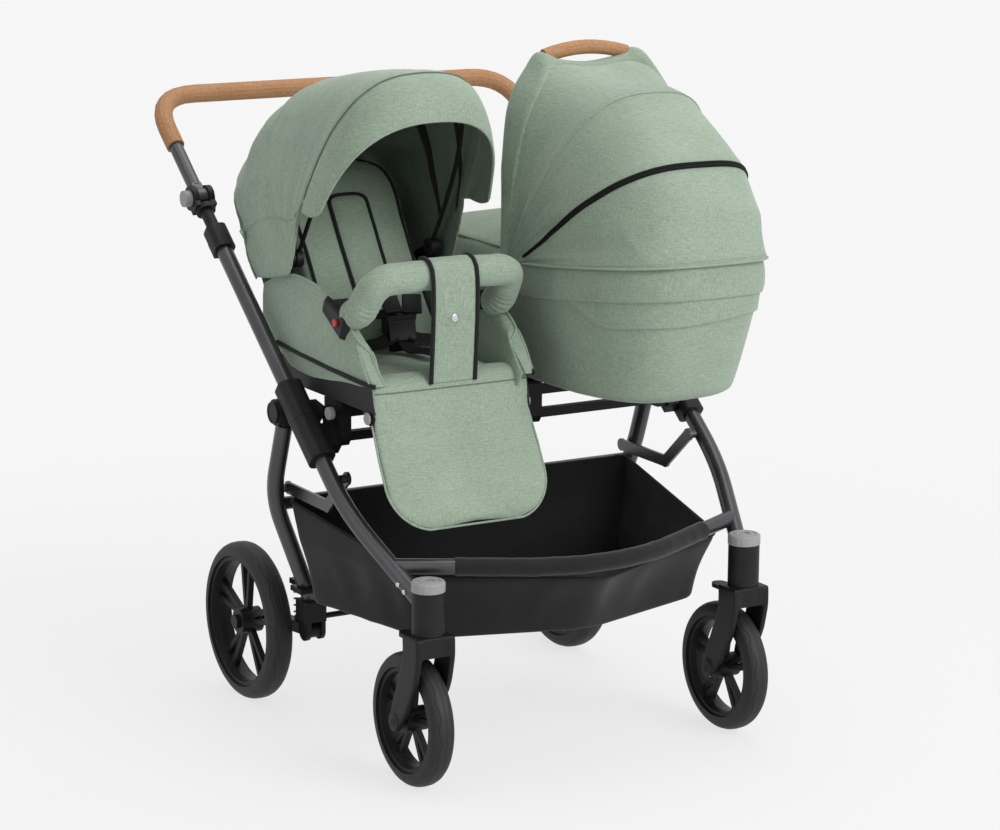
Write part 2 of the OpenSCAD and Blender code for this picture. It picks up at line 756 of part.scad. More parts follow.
module rear_arm() {
    axle = [leg_foot[0], rear_axle_y, rear_axle_z];
    pivot = [leg_foot[0], leg_foot[1], arm_pivot_z];
    lean = atan2(axle[2] - pivot[2], axle[1] - pivot[1]);
    span = norm(axle - pivot);
    inner_end = rear_wheel_x - leg_foot[0] - hub_half - gap;
    color(black) {
        difference() {
            union() {
                translate(pivot) cross_pin(-arm_w / 2, arm_w / 2, 13);
                translate(pivot) rotate([lean, 0, 0]) translate([-arm_w / 2, 0, -10]) cube([arm_w, span, 20]);
                translate(axle) cross_pin(-arm_w / 2, arm_w / 2, 16);
                translate([leg_foot[0], spring_y, arm_pivot_z - 8])
                    cylinder(h = spring_z0 - arm_pivot_z + 8, r = arm_w / 2 - 0.2);
            }
            translate(pivot) cross_pin(-arm_w, arm_w, arm_pin_r);
        }
        translate(axle) {
            cross_pin(0, inner_end + 2 * hub_half + 8, rear_axle_d / 2 - fit);
            cross_pin(0, inner_end, rear_axle_d / 2 + 5);
            cross_pin(inner_end + 2 * hub_half + 2 * gap, inner_end + 2 * hub_half + 8, rear_axle_d / 2 + 4);
        }
    }
}

// Brake bar: a rod between the blocks with a foot pedal
pedal_x = 70;
pedal_w = 90;

module brake_bar() {
    color(black) translate([0, brake_y, brake_z]) {
        end = leg_foot[0] - block_half + 7;
        cross_pin(-end, end, brake_r - fit);
        translate([pedal_x, -9, -9]) cube([pedal_w, 18, 18]);
        translate([pedal_x, 0, -9]) cube([pedal_w, 62, 8]);
    }
}

// Folding links: flat bent bars inside the tubes, on spacers at both pivots
module bar(a, b) {
    d = b - a;
    translate(a) rotate(atan2(d[1], d[0])) translate([0, -link_w / 2 + 1]) square([norm(d), link_w - 2]);
}

module folding_links() {
    color(graphite) both() {
        side_plate(link_x, link_x + link_t) {
            bar(link_front, link_low);
            bar(link_low, link_rear);
            for (p = [link_front, link_low, link_rear]) translate(p) circle(link_w / 2);
        }
        for (p = [link_front, link_rear]) translate([0, p[0], p[1]])
            cross_pin(link_x + link_t - 1, p == link_rear ? link_pin_end : side_x - tube_d / 2 - play, 7);
    }
}

// Seat: side frames on a tray, bumper sockets, footrest ears
module seat_side() {
    polygon([[-250, 575], [-235, 592], [tray_back, 592], [tray_back, 650], [-70, 680], [-128, 745], [socket_y - 18, 745],
        [socket_y - 19, socket_z - bumper_r - 7], [-262, 640], [-276, 590]]);
    translate([foot_y, foot_z]) circle(13);
}

module seat_socket() {
    translate([seat_half - 31, socket_y - 20, socket_z - socket_r]) cube([32, 40, 2 * socket_r]);
}

module seat_frame() {
    foot_in = seat_half + seat_x;
    color(black) {
        difference() {
            translate([seat_x, 0, 0]) union() {
                translate([-seat_half, tray_front, tray_z]) cube([2 * seat_half, tray_back - tray_front, tray_h]);
                both() {
                    side_plate(seat_half - seat_wall, seat_half) seat_side();
                    seat_socket();
                    translate([0, back_y, back_z]) cross_pin(back_half + gap, seat_half, 6 - fit);
                    translate([0, foot_y, foot_z]) cross_pin(seat_half - seat_wall - 10, seat_half, 5 - fit);
                }
            }
            translate([seat_x, socket_y, socket_z]) both() cross_pin(seat_half - 8, seat_half + 5, red_r + gap);
        }
        translate([seat_x - seat_half + 10, -135, bracket_top + gap]) cube([26, 46, tray_z - bracket_top]);
        translate([foot_in - 22, -135, bracket_top + gap]) cube([22, 46, tray_z - bracket_top]);
    }
}

// Cushions: rings across the pad, crowned on top and drawn in between the corners
function pad_ring(w, h, crown, y, count = 24) = [for (k = [0 : count - 1]) let (t = 360 * k / count,
        c = power(cos(t), 2 / 3.2), s = power(sin(t), 2 / 3.2))
    [w * c, y, s > 0 ? h / 2 + s * (h / 2 + crown * (1 - c * c)) : h / 2 + s * h / 2]];
function crest_width(f, crest) = f < crest ? 0.5 + 0.5 * sqrt(1 - pow((crest - f) / crest, 2)) : 1;
function pad_rings(w, l, h, crown, channels, crest = 0) = [for (k = [0 : 14]) let (f = k / 14,
        round_off = pow(max(0.02, 1 - pow(abs(2 * f - 1), 6)), 0.5),
        dip = channels > 0 ? 0.12 * pow(abs(cos(180 * f * channels)), 8) : 0,
        pull = (1 - 0.02 * sin(180 * f)) * crest_width(f, crest))
    pad_ring(w * pull * (0.88 + 0.12 * round_off), h * round_off * (1 - dip), crown * round_off, -l * f)];

seat_pad_front = -262;
seat_pad_back = 26;

module seat_pad() {
    color(sage) translate([seat_x, seat_pad_back, tray_z + tray_h + gap])
        skin(pad_rings(pad_half, seat_pad_back - seat_pad_front, pad_h - 4, 4, 3));
}

module side_panels() {
    color(sage) translate([seat_x, 0, 0]) both() side_plate(pad_half + 1.5, seat_half - seat_wall - play)
        polygon([[-150, 612], [-20, 612], [-8, 690], [10, 775], [-20, 780], [-100, 742], [-118, 700], [-160, 680]]);
}

strap_half = 38;

module crotch_strap() {
    front = bumper_y - bumper_r - play;
    color(sage) translate([seat_x, 0, 0]) side_plate(-strap_half, strap_half)
        polygon([[front, bumper_z + 7], [front - 3, bumper_z + 7], [front - 3, bumper_z - 39], [-272, 632], [-269, 632], [front, bumper_z - 39]]);
}

buckle_y = -95;

module harness_buckle() {
    color(black) translate([seat_x, buckle_y, tray_z + tray_h + pad_h + 2 * gap]) {
        translate([-14, -6, 0]) cube([28, 12, 30]);
        translate([-26, -10, 30]) cube([52, 20, 30]);
    }
}

bumper_in = seat_half - 13;
bumper_half = [[bumper_in, socket_y - 20 - gap, socket_z], [bumper_in, socket_y - 50, socket_z],
    [bumper_in - 8, bumper_y + 6, bumper_z - 4], [60, bumper_y, bumper_z]];

module bumper_bar() {
    color(sage) translate([seat_x, 0, 0])
        tube(bend(concat(bumper_half, reverse(flip(bumper_half))), 24, 4), bumper_r, 14, [1, 0.2, 0.1]);
}

module bumper_button() {
    color(red) translate([0, socket_y, socket_z]) cross_pin(seat_half - 5, seat_half + 4, red_r);
}

// Backrest: board, arms to the canopy hinge, cushion
module on_back() {
    translate([seat_x, back_y, back_z]) rotate([back_angle, 0, 0]) children();
}

board_t = 10;
crest_r = 90;
canopy_reach = [canopy_hinge[0] - back_y, canopy_hinge[1] - back_z];
canopy_up = canopy_reach[0] * cos(back_angle) + canopy_reach[1] * sin(back_angle);
canopy_out = -canopy_reach[0] * sin(back_angle) + canopy_reach[1] * cos(back_angle);
arm_x = back_half + gap;
canopy_pin_r = 5;

module backrest_board() {
    color(black) on_back() {
        difference() {
            union() {
                linear_extrude(board_t) {
                    translate([-back_half, 0]) square([2 * back_half, back_l - crest_r]);
                    translate([-back_half + crest_r, 0]) square([2 * (back_half - crest_r), back_l]);
                    for (k = [-1, 1]) translate([k * (back_half - crest_r), back_l - crest_r]) circle(crest_r);
                }
                both() {
                    cross_pin(back_half - 14, back_half, 12);
                    translate([back_half - 14, 0, -8]) cube([14, 30, 16]);
                }
            }
            both() cross_pin(back_half - 15, back_half + 1, 6);
        }
        both() {
            side_plate(back_half - 1, arm_x + 6) polygon([[canopy_up - 45, 0], [canopy_up + 30, 0],
                [canopy_up + 12, canopy_out], [canopy_up - 12, canopy_out]]);
            translate([0, canopy_up, canopy_out]) cross_pin(back_half - 1, arm_x + 6, 12);
            translate([0, canopy_up, canopy_out]) cross_pin(back_half - 9, back_half, canopy_pin_r - fit);
        }
    }
}

module backrest_pad() {
    color(sage) on_back() translate([0, back_l - 6, board_t + gap])
        skin(pad_rings(back_pad_half, back_l - 30, back_pad_t, 4, 0, 0.27));
}

// Canopy: arches from the back of the seat to the visor's edge, [base y, z, apex y, z, half width, squareness]
canopy_half = back_half + 17;
canopy_top = [back_y + (back_l + 5) * cos(back_angle) + 6 * sin(back_angle),
    back_z + (back_l + 5) * sin(back_angle) - 6 * cos(back_angle)];
canopy_stations = [
    [132, 750, canopy_top[0], canopy_top[1], canopy_half - 2, 4.5],
    [46, 768, canopy_top[0] - 63, canopy_top[1] + 50, canopy_half - 1, 4],
    [22, 782, 84, 1036, canopy_half, 3],
    [-4, 800, -30, 1080, canopy_half, 2.8],
    [-40, 832, -104, 1104, canopy_half, 2.7],
    [-74, 866, -177, 1112, canopy_half, 2.7],
    [-92, 884, -206, 1082, canopy_half - 1, 2.5],
    [-98, 893, -223, 1039, canopy_half - 3, 2.4]
];
canopy_wall = 5;
bow_inset = 9;

module canopy_fabric() {
    color(sage) skin([for (s = canopy_stations) arch_band(seat_x, s, canopy_wall, 24)], "strip");
}

// Front bow of the canopy: a flat arch on two hinge knobs
module canopy_bow() {
    seam = canopy_stations[5];
    bow = [canopy_hinge[0], canopy_hinge[1] + canopy_pin_r + 2, seam[2] + 6, seam[3] - bow_inset, back_half - 6, seam[5]];
    width = [0, 8, 0];
    band = arch_band(seat_x, bow, 4, 24);
    color(black) {
        skin([band, [for (p = band) p - width]], "strip");
        translate([seat_x, canopy_hinge[0], canopy_hinge[1]]) both() difference() {
            cross_pin(back_half - 14, back_half - 1.5, 15);
            cross_pin(back_half - 15, back_half, canopy_pin_r);
        }
    }
}

// Footrest: padded board that swings up on two ears
module on_foot() {
    translate([seat_x, foot_y, foot_z]) rotate([foot_angle, 0, 0]) children();
}

foot_half = seat_half - seat_wall - 1;
foot_t = 20;
foot_corner = 70;
foot_wide = foot_half + 12;
foot_neck = 32;

module footrest() {
    color(sage) on_foot() difference() {
        union() {
            cross_pin(-foot_half, foot_half, 10);
            translate([0, 0, -foot_t / 2]) linear_extrude(foot_t) {
                translate([-foot_half, -foot_neck - 1]) square([2 * foot_half, foot_neck + 1]);
                translate([-foot_wide, -foot_l + foot_corner]) square([2 * foot_wide, foot_l - foot_corner - foot_neck]);
                translate([-foot_wide + foot_corner, -foot_l]) square([2 * (foot_wide - foot_corner), foot_corner + 1]);
                for (s = [-1, 1]) translate([s * (foot_wide - foot_corner), -foot_l + foot_corner]) circle(foot_corner);
            }
        }
        both() cross_pin(foot_half - 12, foot_half + 1, 5);
        translate([-foot_half - 1, 3, -20]) cube([2 * foot_half + 2, 40, 40]);
    }
}

// Carrycot: open tub that widens to its rim
tub_base_a = 138;
tub_base_b = 296;
tub_round = 14;
cot_n = 3.3;

function tub_ring(f, inset, z) = oval(cot_x, cot_y, z, tub_base_a + (cot_a - tub_base_a) * f - inset,
    tub_base_b + (cot_b - tub_base_b) * f - inset, cot_n);
function tub_z(f) = cot_z + cot_h * f;

module carrycot_tub() {
    steps = [0.1, 0.35, 0.7, 1];
    color(sage) skin(concat([tub_ring(0, tub_round, cot_z)],
        [for (f = steps) tub_ring(pow(f, 0.8), 0, tub_z(f))],
        [for (f = reverse(steps)) tub_ring(pow(f, 0.8), cot_wall, f < 0.2 ? cot_z + cot_wall : tub_z(f))]));
}

mattress_h = 40;

module carrycot_mattress() {
    z = cot_z + cot_wall + gap;
    color([0.85, 0.85, 0.82]) skin([
        tub_ring(0.16, cot_wall + 12, z), tub_ring(0.16, cot_wall + 2, z + 8),
        tub_ring(0.16, cot_wall + 2, z + mattress_h - 10), tub_ring(0.16, cot_wall + 12, z + mattress_h)]);
}

// Apron: a slightly domed cover over the rear of the tub
apron_front = -80;
function apron_ring(inset, z) = let (a = cot_a - inset, b = cot_b - inset,
        from = asin(pow((apron_front + inset - cot_y) / b, cot_n / 2)))
    [for (k = [0 : 20]) let (t = from + (180 - 2 * from) * k / 20)
        [cot_x + a * power(cos(t), 2 / cot_n), cot_y + b * power(sin(t), 2 / cot_n), z]];

module carrycot_apron() {
    color(sage) skin([apron_ring(0, rim_z + gap), apron_ring(0, rim_z + 6), apron_ring(30, rim_z + 16),
        apron_ring(80, rim_z + 21)]);
}

// Hood: arches from the opening bow down to the front of the rim
hood_base = rim_z + gap;
hood_front = cot_y - cot_b;
hood_stations = [
    [hood_y + 18, hood_base, -95, 1112, cot_a, 3.4],
    [hood_y + 4, hood_base, -190, 1101, cot_a, 3],
    [hood_y - 10, hood_base, -295, 1070, cot_a, 2.8],
    [hood_y - 22, hood_base, -378, 1016, cot_a, 3],
    [hood_y - 30, hood_base, -432, 966, cot_a, 3.2],
    [hood_y - 34, hood_base, -474, 900, cot_a, 3.3],
    [hood_y - 38, hood_base, hood_front + 2, 838, cot_a, 3.3],
    [hood_y - 40, hood_base, hood_front, hood_base + 1, cot_a, 3.3]
];

module carrycot_hood() {
    color(sage) skin([for (s = hood_stations) arch_band(cot_x, s, hood_wall, 28)], "strip");
}

// Opening bow of the hood, and the cork carry handle on its crown
bow_w = 12;
bow_gap = 1;

module hood_bow() {
    s = hood_stations[0];
    bow = [s[0] + 2, s[1], s[2] + 3, s[3], s[4], s[5]];
    band = arch_band(cot_x, bow, 5, 28);
    color(sage) skin([[for (p = band) p + [0, bow_w, 0]], band], "strip");
}

grip_half = 80;
grip_r = 12;
grip_rise = 12;
finger_gap = 5;
grip_foot_r = 5;
grip_foot_x = grip_half - 14;
function bow_top(x) = let (s = hood_stations[0]) s[1] + (s[3] - s[1]) * pow(1 - pow(x / s[4], s[5]), 1 / s[5]);

module cork_handle() {
    y = hood_stations[0][2] + 3 + bow_w / 2;
    z_mid = bow_top(0) + finger_gap + grip_r;
    foot_z = bow_top(grip_foot_x - grip_foot_r) + gap;
    color(cork) {
        tube([for (k = [-4 : 4]) [cot_x + grip_half * k / 4, y, z_mid - grip_rise * k * k / 16]], grip_r, 14);
        for (s = [-1, 1]) translate([cot_x + s * grip_foot_x, y, foot_z])
            cylinder(h = z_mid - grip_rise - foot_z + 4, r = grip_foot_r);
    }
}

module left() {
    mirror([1, 0, 0]) children();
}

front_tubes();
front_crossbar();
joint_lower_sleeves();
cross_rails();
seat_brackets();
castor_housings();
castor_caps();
basket();
left() castor_button();  // castor_button_left
castor_button();  // castor_button_right
left() castor_fork();  // castor_fork_left
castor_fork();  // castor_fork_right
left() swivel_lever();  // swivel_lever_left
swivel_lever();  // swivel_lever_right
left() front_tyre();  // front_tyre_left
front_tyre();  // front_tyre_right
left() front_rim();  // front_rim_left
front_rim();  // front_rim_right
side_tubes();
joint_upper_sleeves();
joint_discs();
slide_collars();
handle_sliders();
handle_bar();
cork_grips();
grip_band();
left() tilt_button();  // tilt_button_left
tilt_button();  // tilt_button_right
rear_legs();
rear_cross_tube();
suspension_blocks();
left() suspension_spring();  // suspension_spring_left
suspension_spring();  // suspension_spring_right
brake_bar();
left() rear_arm();  // rear_arm_left
rear_arm();  // rear_arm_right
left() rear_tyre();  // rear_tyre_left
rear_tyre();  // rear_tyre_right
left() rear_rim();  // rear_rim_left
rear_rim();  // rear_rim_right
folding_links();
seat_frame();
seat_pad();
side_panels();
crotch_strap();
harness_buckle();
bumper_bar();
translate([seat_x, 0, 0]) left() bumper_button();  // bumper_button_left
translate([seat_x, 0, 0]) bumper_button();  // bumper_button_right
backrest_board();
backrest_pad();
canopy_fabric();
canopy_bow();
footrest();
carrycot_tub();
carrycot_mattress();
carrycot_apron();
carrycot_hood();
hood_bow();
cork_handle();
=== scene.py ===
# Side-by-side twin pram: a folding graphite chassis carries a pushchair seat and a hooded carrycot
import math
import bpy
import numpy as np
from mathutils import Matrix, Vector, noise


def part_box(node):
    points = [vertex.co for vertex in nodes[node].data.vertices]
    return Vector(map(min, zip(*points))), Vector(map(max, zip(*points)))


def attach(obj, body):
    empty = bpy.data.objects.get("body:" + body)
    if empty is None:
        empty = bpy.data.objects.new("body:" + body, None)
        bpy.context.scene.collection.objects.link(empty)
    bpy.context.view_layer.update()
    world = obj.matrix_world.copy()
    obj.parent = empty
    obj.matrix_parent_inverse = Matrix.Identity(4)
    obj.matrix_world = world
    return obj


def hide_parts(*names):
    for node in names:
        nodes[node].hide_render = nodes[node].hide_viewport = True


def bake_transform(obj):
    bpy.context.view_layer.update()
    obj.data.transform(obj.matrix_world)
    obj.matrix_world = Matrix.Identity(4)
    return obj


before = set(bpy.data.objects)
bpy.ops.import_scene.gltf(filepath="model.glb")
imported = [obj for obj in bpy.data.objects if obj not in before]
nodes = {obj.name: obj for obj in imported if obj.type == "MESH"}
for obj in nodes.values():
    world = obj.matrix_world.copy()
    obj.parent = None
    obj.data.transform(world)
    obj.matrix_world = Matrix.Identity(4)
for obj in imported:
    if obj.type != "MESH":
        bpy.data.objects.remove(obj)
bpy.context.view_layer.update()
for thing in bpy.context.selected_objects:
    thing.select_set(False)

# Studio: a pale sweep of paper under and behind the pram, one large soft box above and in front,
# a weaker one on the other side, and the camera at the place that the photograph was taken from.
scene = bpy.context.scene
scene.view_settings.view_transform = "Standard"
bpy.ops.object.camera_add(location=(-2.6542, -4.5767, 1.6703))
camera = bpy.context.object
camera.data.sensor_width = 36
camera.data.lens = 114.47
ahead = (Vector((0, -0.115, 0.5248)) - camera.location).normalized()
right = ahead.cross(Vector((0, 0, 1))).normalized()
up = right.cross(ahead)
roll = math.radians(0.4146)
right, up = right * math.cos(roll) + up * math.sin(roll), up * math.cos(roll) - right * math.sin(roll)
camera.matrix_world = Matrix((
    (right.x, up.x, -ahead.x, camera.location.x), (right.y, up.y, -ahead.y, camera.location.y),
    (right.z, up.z, -ahead.z, camera.location.z), (0, 0, 0, 1)))
scene.camera = camera


class Signal:
    """One socket of a finish, so that its maths is written as an expression."""

    def __init__(self, finish, socket):
        self.finish, self.socket = finish, socket

    def math(self, operation, *values):
        return self.finish.node("ShaderNodeMath", {"operation": operation}, dict(enumerate(values)))

    def __add__(self, other): return self.math("ADD", self, other)
    def __radd__(self, other): return self.math("ADD", other, self)
    def __sub__(self, other): return self.math("SUBTRACT", self, other)
    def __rsub__(self, other): return self.math("SUBTRACT", other, self)
    def __mul__(self, other): return self.math("MULTIPLY", self, other)
    def __rmul__(self, other): return self.math("MULTIPLY", other, self)
    def __truediv__(self, other): return self.math("DIVIDE", self, other)
    def __pow__(self, other): return self.math("POWER", self, other)
    def __abs__(self): return self.math("ABSOLUTE", self)
    def sin(self): return self.math("SINE", self)
    def most(self, other): return self.math("MAXIMUM", self, other)

    def ease(self, low, high):
        """0 below low, 1 above high, smooth between."""
        return self.finish.node("ShaderNodeMapRange", {"interpolation_type": "SMOOTHSTEP"},
                                {0: self, 1: low, 2: high, 3: 0.0, 4: 1.0})


class Finish:
    """A material under construction: its nodes, and its one shader."""

    def __init__(self, name, **plain):
        self.material = bpy.data.materials.new(name)
        self.material.use_nodes = True
        self.tree = self.material.node_tree
        self.shader = self.tree.nodes["Principled BSDF"]
        for socket, value in plain.items():
            self.shader.inputs[socket.replace("_", " ")].default_value = value

    def node(self, kind, settings=None, inputs=None, out=0):
        made = self.tree.nodes.new(kind)
        for key, value in (settings or {}).items():
            if key == "stops":
                ramp = made.color_ramp
                while len(ramp.elements) < len(value):
                    ramp.elements.new(0.5)
                for element, (place, colour) in zip(ramp.elements, value):
                    element.position, element.color = place, (*colour, 1)
            else:
                setattr(made, key, value)
        for key, value in (inputs or {}).items():
            if isinstance(value, Signal):
                self.tree.links.new(value.socket, made.inputs[key])
            else:
                made.inputs[key].default_value = value
        return Signal(self, made.outputs[out])

    def place(self, scale=(1, 1, 1), shift=(0, 0, 0), turn=(0, 0, 0)):
        """Object coordinates, shifted, turned and scaled."""
        here = self.node("ShaderNodeTexCoord", out="Object")
        return self.node("ShaderNodeMapping", {"vector_type": "POINT"},
                         {"Vector": here, "Location": shift, "Rotation": turn, "Scale": scale})

    def noise(self, scale, detail=2.0, size=1.0, rough=0.5):
        return self.node("ShaderNodeTexNoise", {},
                         {"Vector": self.place(scale), "Scale": size, "Detail": detail, "Roughness": rough})

    def ramp(self, value, stops):
        return self.node("ShaderNodeValToRGB", {"stops": stops}, {"Fac": value})

    def mix(self, amount, one, two, blend="MIX"):
        return self.node("ShaderNodeMix", {"data_type": "RGBA", "blend_type": blend}, {0: amount, 6: one, 7: two},
                         out=2)

    def feed(self, socket, value):
        self.tree.links.new(value.socket, self.shader.inputs[socket])

    def bump(self, height, depth, strength=1.0, edge=0.0):
        inputs = {"Height": height, "Distance": depth, "Strength": strength}
        if edge:
            inputs["Normal"] = self.node("ShaderNodeBevel", {"samples": 4}, {"Radius": edge})
        self.feed("Normal", self.node("ShaderNodeBump", {}, inputs))


def soft_box(name, place, aim, size, power):
    bpy.ops.object.light_add(type="AREA", location=place)
    lamp = bpy.context.object
    lamp.name = name
    lamp.data.size, lamp.data.energy = size, power
    lamp.rotation_euler = (Vector(aim) - Vector(place)).to_track_quat("-Z", "Y").to_euler()


soft_box("key_light", (1.4, -4.2, 2.9), (0, 0, 0.6), 3.0, 152)
soft_box("fill_light", (-3.6, -1.6, 2.0), (0, 0, 0.6), 3.0, 15)
soft_box("top_light", (0.6, 0.6, 4.4), (0, 0, 0.6), 3.4, 75)
world = bpy.data.worlds.new("studio_air")
scene.world = world
world.use_nodes = True
air = world.node_tree
path = air.nodes.new("ShaderNodeLightPath")
seen = air.nodes.new("ShaderNodeMath")
seen.operation = "MAXIMUM"
air.links.new(path.outputs["Is Camera Ray"], seen.inputs[0])
air.links.new(path.outputs["Is Transmission Ray"], seen.inputs[1])
seen_or_mirrored = air.nodes.new("ShaderNodeMath")
seen_or_mirrored.operation = "MAXIMUM"
air.links.new(seen.outputs[0], seen_or_mirrored.inputs[0])
air.links.new(path.outputs["Is Glossy Ray"], seen_or_mirrored.inputs[1])
strength = air.nodes.new("ShaderNodeMix")
air.links.new(seen_or_mirrored.outputs[0], strength.inputs[0])
strength.inputs[2].default_value, strength.inputs[3].default_value = 0.47, 0.90
air.links.new(strength.outputs[0], air.nodes["Background"].inputs["Strength"])
air.nodes["Background"].inputs["Color"].default_value = (1.0, 1.0, 1.0, 1)
bpy.ops.mesh.primitive_plane_add(size=40, location=(0, 0, -0.0005))
floor = bpy.context.object
floor.name = "paper_floor"
paper = Finish("paper", Roughness=0.9)
paper.feed("Base Color", paper.ramp(paper.noise((3, 3, 3)), [(0.0, (0.80, 0.80, 0.80)), (1.0, (0.83, 0.83, 0.83))]))
white = paper.node("ShaderNodeEmission", {}, {"Color": (0.925, 0.925, 0.925, 1), "Strength": 1.0})
far = paper.node("ShaderNodeVectorMath", {"operation": "LENGTH"}, {0: paper.place()}, out="Value").ease(0.5, 2.4)
viewed = paper.node("ShaderNodeLightPath",
                    out="Is Camera Ray").most(paper.node("ShaderNodeLightPath", out="Is Glossy Ray"))
far = viewed.most(paper.node("ShaderNodeLightPath", out="Is Transmission Ray")) * (0.78 + 0.22 * far)
backdrop = paper.node("ShaderNodeMixShader", {}, {0: far, 1: Signal(paper, paper.shader.outputs[0]), 2: white})
paper.tree.links.new(backdrop.socket, paper.tree.nodes["Material Output"].inputs["Surface"])
floor.data.materials.append(paper.material)


# Frame tubes: round aluminium tube, bent cold and powder-coated in satin graphite.
# Each tube is one length, drawn as a path with rounded bends and given its round section.
def finish_of(piece, finish):
    piece.data.materials.clear()
    piece.data.materials.append(finish.material)


graphite = Finish("satin_graphite", Metallic=0.75, Coat_Weight=0.15, Coat_Roughness=0.28)
fleck = graphite.noise((1, 1, 1), 2.0, 1600.0)
cloud = graphite.noise((1, 1, 1), 3.0, 14.0)
graphite.feed("Base Color", graphite.ramp(0.75 * cloud + 0.25 * fleck,
                                          [(0.25, (0.054, 0.054, 0.058)), (0.75, (0.084, 0.084, 0.089))]))
graphite.feed("Roughness", 0.30 + 0.1 * cloud)
graphite.bump(fleck, 0.00004, 0.5)

black_plastic = Finish("moulded_black", Specular_IOR_Level=0.22)
grain = black_plastic.noise((1, 1, 1), 3.0, 1100.0)
wear = black_plastic.noise((1, 1, 1), 4.0, 22.0)
black_tone = black_plastic.ramp(wear, [(0.3, (0.0065, 0.0065, 0.0067)), (0.7, (0.0125, 0.0125, 0.0130))])
black_plastic.feed("Base Color", black_tone)
black_plastic.feed("Roughness", 0.42 + 0.16 * wear)
black_plastic.bump(grain, 0.00012, 0.35, edge=0.0012)

HANDLE_SLOPE = math.radians(39.4)
SIDE = 0.357


def up_tube(t, n=0.0):
    """Y and Z of a place on the side tube's line: t up the tube from the fold seam, n off it."""
    return (-0.095 + t * math.cos(HANDLE_SLOPE) - n * math.sin(HANDLE_SLOPE),
            0.548 + t * math.sin(HANDLE_SLOPE) + n * math.cos(HANDLE_SLOPE))


def bent(points, reach, steps=8):
    """The points of a path whose inner corners are rounded from reach before them to reach after them."""
    points = [Vector(p) for p in points]
    path = [points[0]]
    for before, corner, after in zip(points, points[1:], points[2:]):
        a = corner + (before - corner).normalized() * reach
        b = corner + (after - corner).normalized() * reach
        for k in range(steps + 1):
            s = k / steps
            path.append(a * (1 - s) ** 2 + corner * (2 * s * (1 - s)) + b * s ** 2)
    return path + [points[-1]]


def drawn_tube(name, path, radius, finish, body=None, replaces=(), sides=3, closed=False):
    """A round tube or cord along a path, as a curve with depth turned into a mesh."""
    line = bpy.data.curves.new(name, "CURVE")
    line.dimensions = "3D"
    spline = line.splines.new("POLY")
    spline.points.add(len(path) - 1)
    for point, place in zip(spline.points, path):
        point.co = (*place, 1)
    spline.use_cyclic_u = closed
    line.bevel_depth, line.bevel_resolution, line.use_fill_caps = radius, sides, not closed
    piece = bpy.data.objects.new(name, line)
    scene.collection.objects.link(piece)
    bpy.ops.object.select_all(action="DESELECT")
    piece.select_set(True)
    bpy.context.view_layer.objects.active = piece
    bpy.ops.object.convert(target="MESH")
    piece = bpy.context.object
    bpy.ops.object.shade_smooth_by_angle(angle=math.radians(50))
    finish_of(piece, finish)
    if body:
        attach(piece, body)
    if replaces:
        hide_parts(*replaces)
    return piece


def joined(name, pieces):
    """Several meshes that are one piece of the pram."""
    bpy.ops.object.select_all(action="DESELECT")
    for piece in pieces:
        piece.select_set(True)
    bpy.context.view_layer.objects.active = pieces[0]
    bpy.ops.object.join()
    bpy.context.object.name = name
    return bpy.context.object


front_bend = Vector((SIDE, *up_tube(-0.187)))
CASTOR_X, CASTOR_Y = 0.300, -0.404
castor = Vector((CASTOR_X, CASTOR_Y, 0.300))
front_line = bent([(SIDE, *up_tube(-0.008)), front_bend, castor + (front_bend - castor).normalized() * 0.024], 0.060)
mirrored = [Vector((-p.x, p.y, p.z)) for p in front_line]
tubes = joined("front_tubes_drawn", [drawn_tube("front_tube_" + k, line, 0.014, graphite, "front_frame", sides=5)
                                     for k, line in (("right", front_line), ("left", mirrored))])
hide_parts("front_tubes")
weld = front_bend + (castor - front_bend) * 0.56
bow_line = bent([weld, (0, -0.487, weld.z - 0.008), (-weld.x, weld.y, weld.z)], 0.165, 16)
crossbar = drawn_tube("front_crossbar_drawn", bow_line, 0.013, graphite, "front_frame", ["front_crossbar"], sides=5)
EAR = up_tube(0.052, -0.036)
ear = Vector((SIDE, *EAR))
leg_bend, leg_foot = Vector((SIDE, 0.022, 0.398)), Vector((0.276, 0.038, 0.200))
leg_line = bent([ear + (leg_bend - ear).normalized() * 0.025, leg_bend, leg_foot], 0.050)
for side, line in (("right", leg_line), ("left", [Vector((-p.x, p.y, p.z)) for p in leg_line])):
    leg = drawn_tube("rear_leg_sleeve_" + side, line, 0.01415, graphite, "rear_frame", sides=5)
for name in ("side_tubes", "handle_bar", "rear_legs", "rear_cross_tube", "folding_links"):
    finish_of(nodes[name], graphite)
for name in ("joint_lower_sleeves", "cross_rails", "seat_brackets", "castor_housings", "castor_fork_left",
             "castor_fork_right",
             "swivel_lever_left", "swivel_lever_right", "joint_upper_sleeves", "joint_discs", "slide_collars",
             "handle_sliders",
             "grip_band", "suspension_blocks", "brake_bar", "rear_arm_left", "rear_arm_right", "seat_frame",
             "harness_buckle",
             "backrest_board", "canopy_bow", "front_rim_left", "front_rim_right", "rear_rim_left", "rear_rim_right"):
    finish_of(nodes[name], black_plastic)


